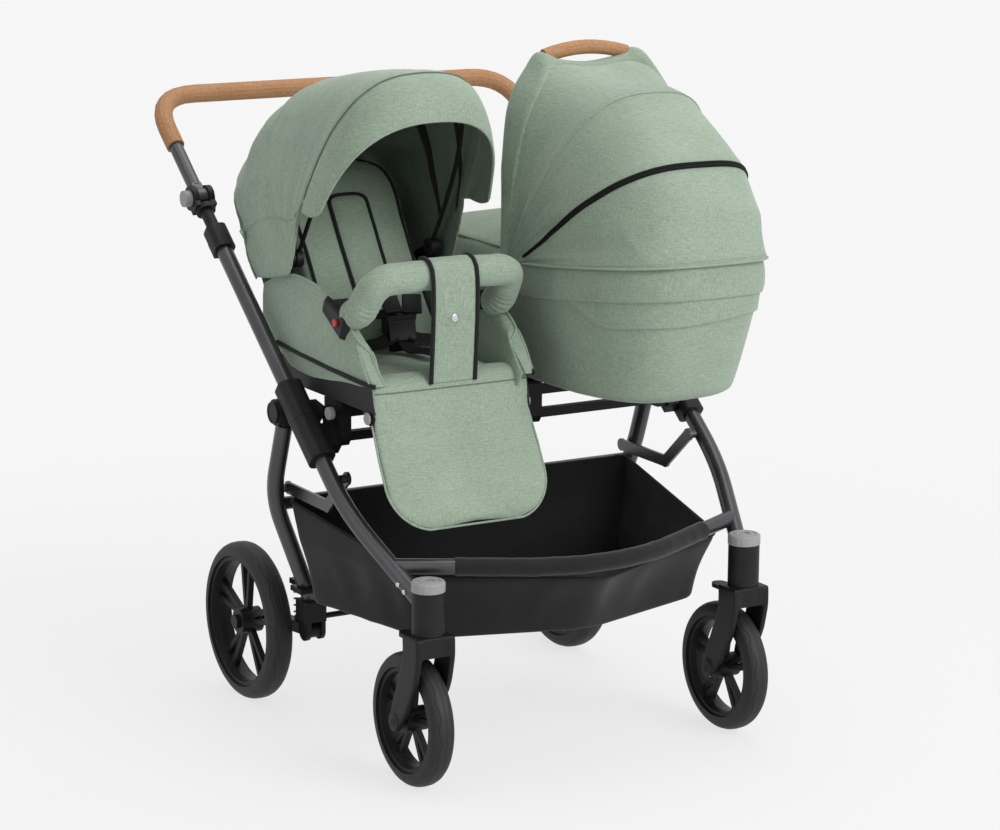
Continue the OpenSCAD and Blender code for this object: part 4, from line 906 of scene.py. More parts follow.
# Underside of the seat cover: below the binding the sage cloth turns in under the tray's edge
# and is hooked to it, so that it hangs as a shallow flap that droops in its middle.
UNDER = [(0.060, 0.651, 0.645), (0.030, 0.6495, 0.632), (0.0, 0.648, 0.618), (-0.060, 0.645, 0.614),
         (-0.122, 0.641, 0.619), (-0.180, 0.637, 0.6255), (-0.225, 0.634, 0.627), (-0.262, 0.633, 0.6275)]
for side, name in ((-1, "left"), (1, "right")):
    rows = []
    for g in np.linspace(0, 1, 9):
        row = []
        for f in np.linspace(0, 1, 56):
            y, top, low = along_list(UNDER, f)
            inward = 0.0042 * max(0.0, (f - 0.72) / 0.28)
            row.append(Vector((SEAT + side * (0.1468 - inward - 0.0016 * g ** 3), y, top + (low - top) * g)))
        rows.append(row)
    flap_under = cloth_sheet("seat_underflap_" + name, rows, sage, centre=(SEAT, -0.08, 0.66))
    crumple(flap_under, lambda p: 0.0018 * (creases(p, 14, (1, 0.6, 1), 21.0) - 0.4))
    finished(flap_under, 0.002, 1)
    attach(flap_under, "seat")

# Canopy: one sheet of sage cloth, its inside painted a darker sage as painted shade, from the zip behind the backrest
# over the hinged bow.
# A piped seam crosses it at the bow, drawn as a darker sage line that paints the seam's shadow, and in front of the
# seam the stiffened visor rolls down.
CANOPY = [(0.124, 0.744, 0.241, 0.908, 0.1500, 4.6), (0.120, 0.748, 0.2510, 0.918, 0.1508, 4.5),
          (0.066, 0.755, 0.2000, 0.994, 0.1518, 4.0), (0.020, 0.766, 0.104, 1.067, 0.1522, 3.4),
          (-0.006, 0.776, -0.022, 1.1005, 0.1524, 3.0), (-0.026, 0.825, -0.104, 1.1100, 0.1525, 2.8),
          (-0.042, 0.880, -0.177, 1.1125, 0.1520, 2.7), (-0.088, 0.886, -0.206, 1.083, 0.1505, 2.5),
          (-0.116, 0.899, -0.223, 1.040, 0.1480, 2.4)]
SEAM = 6 / 8


def canopy_folds(p):
    """How far the canopy's cloth stands out at a place: slack wrinkles behind, a fan from the hinges, a taut visor."""
    back = max(0.0, min(1.0, (p.y - 0.02) / 0.12))
    side = min(1.0, abs(p.x - SEAT) / 0.150)
    slack = 0.0100 * back * (creases(p, 8.5, (0.8, 1.0, 1.5), 31.0) - 0.42)
    small = 0.0036 * (0.30 + 0.70 * back) * (creases(p, 21, (1, 1.2, 0.8), 5.0) - 0.42)
    turn = math.degrees(math.atan2(p.z - 0.795, -(p.y - 0.02)))
    reach = math.hypot(p.y - 0.02, p.z - 0.795)
    ripple = (1 - abs(noise.noise(Vector((turn * 0.10, reach * 4, 3.0 + (p.x > SEAT)))))) ** 3 - 0.45
    fan = 0.0050 * side ** 3 * bump_at(reach, 0.10, 0.11) * ripple
    return slack + small + fan - 0.0045 * back * side ** 4


def canopy_at(f, t, proud=0.0):
    here = on_arch(SEAT, CANOPY, f, t)
    da = on_arch(SEAT, CANOPY, min(f + 0.008, 1), t) - on_arch(SEAT, CANOPY, max(f - 0.008, 0), t)
    db = on_arch(SEAT, CANOPY, f, min(t + 0.004, 1)) - on_arch(SEAT, CANOPY, f, max(t - 0.004, 0))
    normal = da.cross(db)
    if normal.length > 1e-12:
        normal.normalize()
        if normal.dot(here - Vector((SEAT, 0.02, 0.85))) < 0:
            normal.negate()
        roll = max(0.0, (f - SEAM) / (1 - SEAM))
        tip = abs(2 * t - 1) ** 8
        fold = (canopy_folds(here) * (1 - roll) + 0.004 * math.sin(math.pi * roll)
                + 0.010 * roll * tip - 0.0022 * bump_at(f, SEAM + 0.012, 0.008))
        here = here + normal * (proud + fold)
        here.z -= 0.012 * roll * tip
    return here


arch_steps = even_steps(80)
canopy = cloth_sheet("canopy_shell", [[canopy_at(f, t) for t in arch_steps] for f in np.linspace(0, 1, 81)], sage,
                     centre=(SEAT, 0.02, 0.85))
# The canopy's inner face gets the darker sage: painted shade.
finished(canopy, 0.0026, 1, inner=sage_in_painted_shade)
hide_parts("canopy_fabric")
# seam_shade: a darker sage for the seam lines of the canopy and footrest, a painted shadow along each seam.
seam_shade = woven("sage_seam_painted_shadow", (0.085, 0.120, 0.092), (0.120, 0.165, 0.128), (0.165, 0.220, 0.175), 0.2)
canopy_lines = [
    ("canopy_seam", [canopy_at(SEAM, t, 0.0004) for t in np.linspace(0.015, 0.985, 110)], 0.0013, seam_shade),
    ("canopy_visor_hem", [canopy_at(0.997, t, -0.0012) for t in np.linspace(0.006, 0.994, 110)], 0.0022, sage),
    ("canopy_rear_seam_left", [canopy_at(f, 0.955, 0.0002) for f in np.linspace(0.02, SEAM - 0.03, 60)], 0.0011, sage),
    ("canopy_rear_seam_right", [canopy_at(f, 0.045, 0.0002) for f in np.linspace(0.02, SEAM - 0.03, 60)], 0.0011, sage),
    ("canopy_rear_hem", [canopy_at(0.075, t, 0.0002) for t in np.linspace(0.03, 0.97, 110)], 0.0013, sage)]
canopy_pieces = [canopy]
for name, line, r, finish in canopy_lines:
    trim = drawn_tube(name, line, r, finish, sides=2)
    canopy_pieces.append(trim)
for name, f, wide in (("canopy_tape_rear", 0.40, 0.024), ("canopy_tape_front", 0.575, 0.013)):
    rows = [[canopy_at(f + shift, t, lift) for t in np.linspace(0.03, 0.97, 90)] for shift, lift in
            ((-0.016, -0.0030), (-0.013, -0.0044), (0.0, -0.0050), (0.013, -0.0044), (0.016, -0.0030))]
    tape = finished(cloth_sheet(name, rows, black_binding, centre=(SEAT, 0.02, 1.3)), 0.0012, 1)
    canopy_pieces.append(tape)
for piece in canopy_pieces:
    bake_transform(piece)

# Bumper bar: a steel bow padded with foam and sleeved in sage cloth, which gathers in rings at its ends.
# A black collar at each end plugs into the seat's joint, where a red button lets it go; the collars are not drawn here.
bar_half = [Vector((SEAT + 0.130, -0.170, 0.735)), Vector((SEAT + 0.130, -0.198, 0.735)),
            Vector((SEAT + 0.122, -0.246, 0.797)), Vector((SEAT + 0.060, -0.252, 0.801))]
bar_line = bent(bar_half + [Vector((2 * SEAT - p.x, p.y, p.z)) for p in reversed(bar_half)], 0.024, 10)


def even_line(points, count):
    """The same path in steps of one length."""
    points = [Vector(p) for p in points]
    lengths = [0.0]
    for a, b in zip(points, points[1:]):
        lengths.append(lengths[-1] + (b - a).length)
    out = []
    for k in range(count + 1):
        want = lengths[-1] * k / count
        i = max(j for j in range(len(points) - 1) if lengths[j] <= want + 1e-12)
        span = lengths[i + 1] - lengths[i]
        out.append(points[i].lerp(points[i + 1], min(1.0, (want - lengths[i]) / span) if span else 0.0))
    return out


def sleeve_rows(line, radius, count=28):
    """Rings round a path. radius gives a ring's size from the share of the path and the angle round it."""
    rows = []
    side = Vector((0, 0, 1))
    for k, here in enumerate(line):
        ahead_way = (line[min(k + 1, len(line) - 1)] - line[max(k - 1, 0)]).normalized()
        side = (side - ahead_way * side.dot(ahead_way)).normalized()
        other = ahead_way.cross(side)
        row = []
        for j in range(count):
            t = 2 * math.pi * j / count
            row.append(here + (side * math.cos(t) + other * math.sin(t)) * radius(k / (len(line) - 1), t))
        rows.append(row)
    return rows


def bar_radius(f, t):
    end = min(f, 1 - f)
    gather = bump_at(end, 0.055, 0.085)
    rings = math.sin(2 * math.pi * end * 46 + 1.6 * math.sin(t * 2 + f * 9) + 0.8 * math.sin(t + 2))
    slack = noise.noise(Vector((f * 16, math.cos(t) * 1.3, math.sin(t) * 1.3 + 4)))
    return 0.0252 * min(1.0, 0.72 + 9 * end) + 0.0015 * gather * rings + 0.0018 * slack


bar_cover = capped(cloth_sheet("bumper_cover", sleeve_rows(even_line(bar_line, 190), bar_radius), sage, ring=True,
                               centre=(SEAT, -0.2, 0.75)))
finished(bar_cover, smooth=1)
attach(bar_cover, "bumper")
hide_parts("bumper_bar")

# Crotch strap: a doubled strip of sage cloth between two black pipings. It goes over the bumper bar,
# closes behind it, and runs down to the front edge of the seat, with a press stud in its middle.
def round_edges(piece, width, segments):
    """Rounds the sharp edges of the piece being modelled."""
    rounding = piece.modifiers.new("rounding", "BEVEL")
    rounding.width, rounding.segments, rounding.limit_method = width, segments, "ANGLE"
    bpy.ops.object.modifier_apply(modifier=rounding.name)


def pick_faces(piece, wanted):
    """Opens a piece for editing with its wanted faces selected."""
    bpy.ops.object.mode_set(mode="EDIT")
    bpy.ops.mesh.select_mode(type="FACE")
    bpy.ops.mesh.select_all(action="DESELECT")
    bpy.ops.object.mode_set(mode="OBJECT")
    for face in piece.data.polygons:
        face.select = wanted(face)
    bpy.ops.object.mode_set(mode="EDIT")


strap_line = even_line([(0, -0.2290, 0.7800), (0, -0.2243, 0.7970), (0, -0.2285, 0.8160), (0, -0.2400, 0.8265),
                        (0, -0.2545, 0.8292), (0, -0.2685, 0.8245), (0, -0.2782, 0.8130),
                        (0, -0.2810, 0.7990), (0, -0.2818, 0.7700), (0, -0.2815, 0.7200), (0, -0.2800, 0.6750),
                        (0, -0.2760, 0.6300)], 64)
strap_rows = []
for k, p in enumerate(strap_line):
    f = k / 64
    sway = 0.0012 * math.sin(f * 9) if f > 0.4 else 0.0
    strap_rows.append([Vector((SEAT + u * 0.038, p.y - 0.0012 * (1 - u * u) + sway, p.z))
                       for u in np.linspace(-1, 1, 13)])
strap = cloth_sheet("crotch_strap_cloth", strap_rows, sage, centre=(SEAT, -0.2, 0.74))
finished(strap, 0.0026, 1)
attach(strap, "bumper")
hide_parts("crotch_strap")
for side, name in ((-1, "left"), (1, "right")):
    edge = [row[0 if side < 0 else -1] + Vector((side * 0.0022, -0.0006, 0)) for row in strap_rows]
    drawn_tube("strap_piping_" + name, edge, 0.0036, black_binding, "bumper", sides=3)
steel = Finish("press_stud_steel", Metallic=1.0)
brushed = steel.noise((1, 1, 1), 3.0, 260.0)
steel.feed("Base Color", steel.ramp(brushed, [(0.2, (0.50, 0.50, 0.51)), (0.8, (0.66, 0.66, 0.67))]))
steel.feed("Roughness", 0.22 + 0.16 * brushed)
bpy.ops.object.select_all(action="DESELECT")
bpy.ops.mesh.primitive_cylinder_add(vertices=28, radius=0.0068, depth=0.0024, location=(SEAT - 0.002, -0.2838, 0.7345),
                                    rotation=(math.pi / 2, 0, 0))
press_stud = bpy.context.object
press_stud.name = "strap_press_stud"
bpy.ops.object.transform_apply(location=True, rotation=True, scale=True)
pick_faces(press_stud, lambda face: face.normal.y < -0.9)
bpy.ops.mesh.inset(thickness=0.0016, depth=0.0009)
bpy.ops.mesh.inset(thickness=0.0018, depth=-0.0005)
bpy.ops.mesh.inset(thickness=0.0012, depth=0.0003)
bpy.ops.object.mode_set(mode="OBJECT")
round_edges(press_stud, 0.0003, 2)
bpy.ops.object.shade_smooth_by_angle(angle=math.radians(35))
finish_of(press_stud, steel)
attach(press_stud, "bumper")

# Footrest panel: wadded sage cloth over the hinged board, one piece with the front edge of the seat cover.
# It is seamed along the seat's edge, piped round its sides, and rounded at its lower corners.
FOOT_TURN = math.radians(61.7)


def on_foot(across, down, out):
    """A place on the footrest: down its slope from the hinge, and out from its middle towards the child's legs."""
    return Vector((SEAT + across, -0.263 - down * math.cos(FOOT_TURN) - out * math.sin(FOOT_TURN),
                   0.582 - down * math.sin(FOOT_TURN) + out * math.cos(FOOT_TURN)))


def foot_half(down):
    low, corner = 0.1920, 0.076
    wide = 0.1455 + 0.0035 * min(1.0, max(0.0, down) / 0.07)
    if down < low - corner:
        return wide
    return wide - corner + corner * math.sqrt(max(0.012, 1 - ((down - low + corner) / corner) ** 2))


foot_path = [Vector((0, y, z)) for y, z in ((-0.228, 0.6385), (-0.246, 0.6385), (-0.2590, 0.6345), (-0.2665, 0.6250),
                                            (-0.2700, 0.6110), (-0.2720, 0.5930), (-0.2765, 0.5700))]
foot_path = even_line(foot_path + [Vector((0, *on_foot(0, d, 0)[1:])) for d in (0.045, 0.08, 0.12, 0.155, 0.1920)], 44)
foot_rows = []
for k, here in enumerate(foot_path):
    run = (foot_path[min(k + 1, 44)] - foot_path[max(k - 1, 0)]).normalized()
    out_way = Vector((0, run.z, -run.y))
    down = (here.y + 0.263) * -math.cos(FOOT_TURN) + (0.582 - here.z) * math.sin(FOOT_TURN)
    thick = 0.0085 * max(0.12, 1 - max(0.0, (down - 0.150) / 0.043) ** 4) ** 0.5 * min(1.0, 0.45 + k / 12)
    foot_rows.append([Vector((SEAT + x, 0, 0)) + here + out_way * o for x,
                      o in rounded_ring(foot_half(down) - 0.003, -thick, thick, thick * 0.7, 44, 0.001)])
foot_panel = capped(cloth_sheet("footrest_panel", foot_rows, sage, ring=True, centre=on_foot(0, 0.1, 0)))


def foot_place(p):
    y, z = -(p.y + 0.263), -(p.z - 0.582)
    along = y * math.cos(FOOT_TURN) + z * math.sin(FOOT_TURN)
    return p.x - SEAT, along, y * math.sin(FOOT_TURN) - z * math.cos(FOOT_TURN)


stuffed(foot_panel, 0.005, lambda p: max(bump_at(p.z, 0.622, 0.004),
                                         bump_at(abs(foot_place(p)[0]), foot_half(foot_place(p)[1]), 0.004)), 2.5,
                                         0.005)
crumple(foot_panel, lambda p: 0.0020 * (creases(p, 9, (1.6, 0.5, 0.28), 40.0) - 0.4) * min(1.0,
        max(0.0, foot_place(p)[1] + 0.03) / 0.03))
finished(foot_panel, smooth=1)
foot_trim = []
edge_line = [on_foot(-foot_half(d) + 0.0030, d, 0.0005) for d in np.linspace(0.012, 0.1905, 60)]
edge_line += [on_foot(foot_half(d) - 0.0030, d, 0.0005) for d in np.linspace(0.1905, 0.012, 60)]
foot_trim.append(drawn_tube("footrest_piping", even_line(edge_line, 150), 0.0019, sage, sides=2))
seam_line = laid_on(foot_panel, [(Vector((SEAT + x, -0.5, 0.622)), Vector((0, 1, 0))) for x in np.linspace(-0.140,
        0.140, 60)], 0.0002)
# The seam along the seat's edge is drawn as a thin darker line: painted shadow.
foot_trim.append(drawn_tube("footrest_seam_painted_shadow", seam_line, 0.0012, seam_shade, sides=2))
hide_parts("footrest")
for piece in [foot_panel] + foot_trim:
    on_foot(0, -0.030, 0)
    on_foot(0, 0.020, 0)
    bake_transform(piece)

# Harness: black polyester webbing with moulded sliders. Two shoulder belts come down from the backrest
# and two lap belts from the seat's sides, and all four meet in the buckle on its short crotch belt.
webbing = Finish("harness_webbing", Roughness=0.75, Specular_IOR_Level=0.15)
rib = webbing.node("ShaderNodeTexWave", {"wave_type": "BANDS", "bands_direction": "DIAGONAL"},
                   {"Vector": webbing.place(), "Scale": 330.0, "Distortion": 0.6})
webbing.feed("Base Color", webbing.ramp(rib, [(0.2, (0.006, 0.006, 0.006)), (0.8, (0.020, 0.020, 0.021))]))
webbing.bump(rib, 0.0003, 0.6)
buckle_low, buckle_high = (Vector(c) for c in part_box("harness_buckle"))
buckle = (buckle_low + buckle_high) / 2


def belt(name, points, faces_to, width=0.025, body="seat"):
    """A flat belt through the points, its flat side turned towards faces_to."""
    line = even_line(bent(points, 0.012, 4), 46)
    rows = []
    for k, here in enumerate(line):
        ahead_way = (line[min(k + 1, 46)] - line[max(k - 1, 0)]).normalized()
        across = ahead_way.cross(Vector(faces_to)).normalized() * (width / 2)
        rows.append([here + across * u for u in np.linspace(-1, 1, 7)])
    piece = finished(cloth_sheet(name, rows, webbing, centre=Vector(line[23]) - Vector(faces_to)), 0.0018, 1)
    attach(piece, body)
    sum((b - a).length for a, b in zip(line, line[1:]))
    return piece


shoulder_left = on_back(-0.046, 0.030, 0.098)
shoulder_right = on_back(0.062, 0.036, 0.098)
face_up = (0, -0.75, 0.65)
belt("shoulder_belt_left", [shoulder_left, on_back(-0.042, 0.020, 0.112), buckle + Vector((-0.015, -0.004, 0.034)),
                            buckle + Vector((-0.010, -0.0105, 0.008))], face_up)
belt("shoulder_belt_right", [shoulder_right, on_back(0.054, 0.022, 0.113), buckle + Vector((0.019, -0.004, 0.030)),
                             buckle + Vector((0.010, -0.0105, 0.006))], face_up)
belt("lap_belt_left", [(SEAT - 0.116, buckle.y - 0.020, 0.668), (SEAT - 0.070, buckle.y - 0.016, 0.664),
                       buckle + Vector((-0.034, -0.012, -0.010)), buckle + Vector((-0.012, -0.0108, 0.000))],
                       (0, -0.6, 0.8))
belt("lap_belt_right", [(SEAT + 0.116, buckle.y - 0.020, 0.668), (SEAT + 0.070, buckle.y - 0.016, 0.664),
                        buckle + Vector((0.034, -0.012, -0.010)), buckle + Vector((0.012, -0.0108, 0.000))],
                        (0, -0.6, 0.8))
belt("crotch_belt", [buckle + Vector((0.004, -0.0112, -0.008)), buckle + Vector((0.010, -0.026, -0.026)),
                     (SEAT + 0.020, buckle.y - 0.060, 0.6580), (SEAT + 0.034, buckle.y - 0.098, 0.6565)],
                     (0, -0.5, 0.85), 0.030)


def slider(name, place, turn, size):
    """A moulded belt slider: a block with a rounded outline and a recess sunk in its top face, without its two slots.
    """
    bpy.ops.object.select_all(action="DESELECT")
    bpy.ops.mesh.primitive_cube_add(size=1, location=(0, 0, 0))
    piece = bpy.context.object
    piece.name = name
    piece.scale = size
    bpy.ops.object.transform_apply(scale=True)
    pick_faces(piece, lambda face: face.normal.z > 0.9)
    bpy.ops.mesh.inset(thickness=0.0045, depth=-0.0016)
    bpy.ops.object.mode_set(mode="OBJECT")
    round_edges(piece, 0.0018, 3)
    bpy.ops.object.shade_smooth_by_angle(angle=math.radians(40))
    piece.rotation_euler = turn
    piece.location = place
    bpy.ops.object.transform_apply(location=True, rotation=True, scale=True)
    finish_of(piece, black_plastic)
    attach(piece, "seat")


slider("belt_slider_left", buckle + Vector((-0.017, -0.004, 0.050)), (math.radians(52), 0, math.radians(6)),
       (0.032, 0.034, 0.008))
slider("belt_slider_right", buckle + Vector((0.024, -0.002, 0.046)), (math.radians(52), 0, math.radians(-24)),
       (0.032, 0.034, 0.008))
slider("buckle_face", buckle + Vector((0, -0.0125, 0.006)), (math.radians(80), 0, 0), (0.050, 0.034, 0.007))


# Bumper joints: black moulded shells screwed to the seat's sides over the cloth, into which the bar plugs.
# A red button in each outer face, pushed inwards, frees the bar.
red_plastic = Finish("red_plastic", Roughness=0.38)
red_cloud = red_plastic.node("ShaderNodeTexNoise", None, {"Vector": red_plastic.place((1, 1, 1)), "Scale": 240.0})
red_tone = red_plastic.ramp(red_cloud, [(0.3, (0.44, 0.018, 0.012)), (0.7, (0.56, 0.030, 0.020))])
red_plastic.feed("Base Color", red_tone)
for side, name in ((-1, "left"), (1, "right")):
    bpy.ops.object.select_all(action="DESELECT")
    bpy.ops.mesh.primitive_cube_add(size=1, location=(0, 0, 0))
    shell = bpy.context.object
    shell.name = "bumper_joint_" + name
    shell.scale = (0.020, 0.092, 0.047)
    bpy.ops.object.transform_apply(scale=True)
    for ends, wide, tall in ((lambda n: n.y > 0.9, 0.55, 0.62), (lambda n: n.x * side > 0.9, 0.80, 0.74)):
        pick_faces(shell, lambda face: ends(face.normal))
        bpy.ops.transform.resize(value=(wide, wide if wide > 0.7 else 1.0, tall))
        bpy.ops.object.mode_set(mode="OBJECT")
    bpy.ops.object.mode_set(mode="EDIT")
    bpy.ops.mesh.inset(thickness=0.006, depth=-0.0016)
    bpy.ops.object.mode_set(mode="OBJECT")
    round_edges(shell, 0.0030, 4)
    bpy.ops.object.shade_smooth_by_angle(angle=math.radians(40))
    shell.rotation_euler = (math.radians(22), 0, 0)
    shell.location = (SEAT + side * 0.1475, -0.156, 0.728)
    bpy.ops.object.transform_apply(location=True, rotation=True, scale=True)
    finish_of(shell, black_plastic)
    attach(shell, "seat")
    bpy.ops.object.select_all(action="DESELECT")
    bpy.ops.mesh.primitive_cylinder_add(vertices=28, radius=0.0062, depth=0.012, location=(0, 0, 0))
    cap = bpy.context.object
    cap.name = "bumper_button_cap_" + name
    pick_faces(cap, lambda face: face.normal.z > 0.9)
    bpy.ops.mesh.inset(thickness=0.0022, depth=-0.0008)
    bpy.ops.object.mode_set(mode="OBJECT")
    round_edges(cap, 0.0009, 3)
    bpy.ops.object.shade_smooth_by_angle(angle=math.radians(40))
    cap.rotation_euler = (0, side * math.radians(90), 0)
    cap.location = (SEAT + side * 0.1530, -0.170, 0.7215)
    bpy.ops.object.transform_apply(location=True, rotation=True, scale=True)
    finish_of(cap, red_plastic)
    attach(cap, "bumper_button_" + name[0])

# Carrycot apron: a domed sage cover over the child's legs, hemmed along its free front edge
# and held down at the rim by the band.
def apron_ring(inset, z, count=60):
    half, length, edge = 0.1575 - inset, 0.3745 - inset, -0.080 + inset
    start = math.asin(((edge - COT_Y) / length) ** (3.3 / 2))
    ring = []
    for k in range(count + 1):
        t = start + (math.pi - 2 * start) * k / count
        c, s = math.cos(t), math.sin(t)
        ring.append(Vector((COT + half * math.copysign(abs(c) ** (2 / 3.3), c), COT_Y + length * abs(s) ** (2 / 3.3),
                            z)))
    return ring + [ring[-1].lerp(ring[0], k / 24) for k in range(1, 24)]


apron_rows = [apron_ring(i, z) for i, z in ((0.0004, 0.7975), (-0.0006, 0.8020), (0.002, 0.8060), (0.010, 0.8090),
                                            (0.026, 0.8130), (0.048, 0.8165), (0.072, 0.8187), (0.098, 0.8200),
                                            (0.122, 0.8206), (0.140, 0.8208))]
apron = capped(cloth_sheet("apron_cover", apron_rows, sage, ring=True, centre=(COT, 0.08, 0.75)))
crumple(apron, lambda p: 0.0034 * (creases(p, 8, (0.6, 1.0, 1), 52.0) - 0.5) * (p.z > 0.8045))
finished(apron, smooth=1)
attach(apron, "carrycot")
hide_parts("carrycot_apron")
hem_line = [Vector((COT + 0.150 * u, -0.0805, 0.8045 + 0.004 * (1 - u ** 4))) for u in np.linspace(-1, 1, 50)]
drawn_tube("apron_hem", hem_line, 0.0022, sage, "carrycot", sides=2)

# Mattress: a foam slab in an undyed cotton cover, loose on the floor of the tub.
cotton = woven("undyed_cotton", (0.50, 0.49, 0.45), (0.60, 0.59, 0.55), (0.70, 0.69, 0.65), 0.2)
mattress_rows = [tub_ring(0.080, 0.200, 0.5962), tub_ring(0.118, 0.272, 0.5962), tub_ring(0.1275, 0.2865, 0.6030),
                 tub_ring(0.1285, 0.2885, 0.615),
                 tub_ring(0.1275, 0.2865, 0.6265), tub_ring(0.1205, 0.278, 0.6335), tub_ring(0.095, 0.240, 0.6360),
                 tub_ring(0.040, 0.140, 0.6372)]
mattress = capped(cloth_sheet("cot_mattress", mattress_rows, cotton, ring=True, centre=(COT, COT_Y, 0.615)))
crumple(mattress, lambda p: 0.0012 * (creases(p, 10, (1, 1, 1), 61.0) - 0.4) * (p.z > 0.6))
finished(mattress, smooth=1)
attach(mattress, "carrycot")
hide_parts("carrycot_mattress")

# Cork: granulated cork pressed round the handle tube and lacquered matt, with darker grains of bark.
# The handle has two long sleeves of it with a black band between them, and the carrycot's grip is one.
cork = Finish("pressed_cork", Specular_IOR_Level=0.25)
grain_cells = cork.node("ShaderNodeTexVoronoi", {"feature": "F1"}, {"Vector": cork.place(), "Scale": 420.0},
                        out="Distance")
grain_tone = cork.node("ShaderNodeTexVoronoi", {"feature": "F1"}, {"Vector": cork.place(), "Scale": 420.0}, out="Color")
bark = cork.noise((1, 1, 1), 4.0, 300.0, 0.6)
cloudy = cork.noise((1, 1, 1), 3.0, 30.0)
tone = cork.node("ShaderNodeSeparateColor", {}, {"Color": grain_tone}, out="Red")
cork_colour = cork.ramp(0.55 * tone + 0.45 * cloudy,
                        [(0.1, (0.335, 0.168, 0.078)), (0.5, (0.405, 0.212, 0.104)), (0.95, (0.470, 0.262, 0.138))])
cork.feed("Base Color", cork.mix(0.75 * bark.ease(0.60, 0.70), cork_colour, (0.20, 0.092, 0.036, 1)))
cork.feed("Roughness", 0.58 + 0.2 * grain_cells)
cork.bump(grain_cells + 0.6 * bark, 0.00035, 0.45)
for name in ("cork_grips", "cork_handle"):
    finish_of(nodes[name], cork)

# Tyres: solid black rubber moulded with a road tread, pressed on to the rims.
# The tread is smooth, with a fine groove round its middle and one that waves along each shoulder, and the grooves are
# painted darker as painted shade.
def rubber_tyre(name, centre, radius, half):
    rubber = Finish(name, Specular_IOR_Level=0.38)
    here = rubber.place(shift=tuple(-c for c in centre))
    x, y, z = (rubber.node("ShaderNodeSeparateXYZ", {}, {0: here}, out=axis) for axis in "XYZ")
    turn = y.math("ARCTAN2", z, y)
    reach = (y * y + z * z) ** 0.5
    across = abs(x) / half
    crown = reach.ease(radius - 0.010, radius - 0.004)
    wave = 1.0 - abs(across - 0.50 - 0.10 * (turn * 15.0).sin()).ease(0.015, 0.05)
    middle = 1.0 - across.ease(0.03, 0.07)
    tread_and_groove_shade = crown * (1.0 - wave) * (1.0 - 0.6 * middle)
    dust = rubber.noise((1, 1, 1), 4.0, 60.0)
    # The tread mask also sets the colour: lighter on the tread's face, darker in its grooves and on the sidewalls,
    # painted shade in the grooves.
    rubber.feed("Base Color", rubber.ramp(0.6 * dust + 0.25 * tread_and_groove_shade,
                                          [(0.2, (0.0085, 0.0085, 0.0085)), (0.75, (0.0190, 0.0190, 0.0185))]))
    rubber.feed("Roughness", 0.48 + 0.22 * dust)
    rubber.bump(tread_and_groove_shade + 0.06 * dust, 0.0014, 0.9)
    return rubber


for corner, radius, half in (("front", 0.109, 0.021), ("rear", 0.137, 0.023)):
    for side in ("left", "right"):
        node = corner + "_tyre_" + side
        low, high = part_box(node)
        centre = tuple((a + b) / 2 for a, b in zip(low, high))
        finish_of(nodes[node], rubber_tyre(node + "_rubber", centre, radius, half))

# Springs, caps and buttons: coiled and blackened spring steel, and small fittings of dyed nylon.
# The caps are grey with a fluted edge, the release buttons of the bumper bar are red.
spring_steel = Finish("blackened_steel", Metallic=0.85)
drawn = spring_steel.noise((1, 1, 1), 3.0, 180.0)
spring_steel.feed("Base Color", spring_steel.ramp(drawn, [(0.2, (0.10, 0.10, 0.105)), (0.8, (0.19, 0.19, 0.195))]))
spring_steel.feed("Roughness", 0.28 + 0.18 * drawn)
grey_nylon = Finish("grey_nylon", Specular_IOR_Level=0.4)
mottle = grey_nylon.noise((1, 1, 1), 3.0, 500.0)
grey_nylon.feed("Base Color", grey_nylon.ramp(mottle, [(0.2, (0.25, 0.25, 0.252)), (0.8, (0.34, 0.34, 0.342))]))
grey_nylon.feed("Roughness", 0.42 + 0.15 * mottle)
grey_nylon.bump(mottle, 0.00008, 0.4, edge=0.0008)
red_nylon = Finish("red_nylon", Specular_IOR_Level=0.45)
red_mottle = red_nylon.noise((1, 1, 1), 3.0, 600.0)
red_nylon.feed("Base Color", red_nylon.ramp(red_mottle, [(0.2, (0.50, 0.010, 0.010)), (0.8, (0.66, 0.022, 0.018))]))
red_nylon.feed("Roughness", 0.35 + 0.1 * red_mottle)
red_nylon.bump(red_mottle, 0.00006, 0.4, edge=0.0006)
COIL_WIRE, COIL_TURNS = 0.0015, 4.5
for name in ("left", "right"):
    low, high = (Vector(c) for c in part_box("suspension_spring_" + name))
    middle, reach = (low + high) / 2, (high.x - low.x) / 2 - COIL_WIRE
    climb = high.z - low.z - 2 * COIL_WIRE
    path = []
    for k in range(int(16 * COIL_TURNS) + 1):
        turn = 2 * math.pi * k / 16
        path.append(Vector((middle.x + reach * math.cos(turn), middle.y + reach * math.sin(turn),
                            low.z + COIL_WIRE + climb * k / (16 * COIL_TURNS))))
    coil = drawn_tube("suspension_coil_" + name, path, COIL_WIRE, spring_steel, replaces=("suspension_spring_" + name,))
    "arm_" + name[0]
    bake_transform(coil)
for name, thing in nodes.items():
    if name.startswith("castor_cap") or "button" in name:
        finish_of(thing, red_nylon if name.startswith("bumper_button") else grey_nylon)

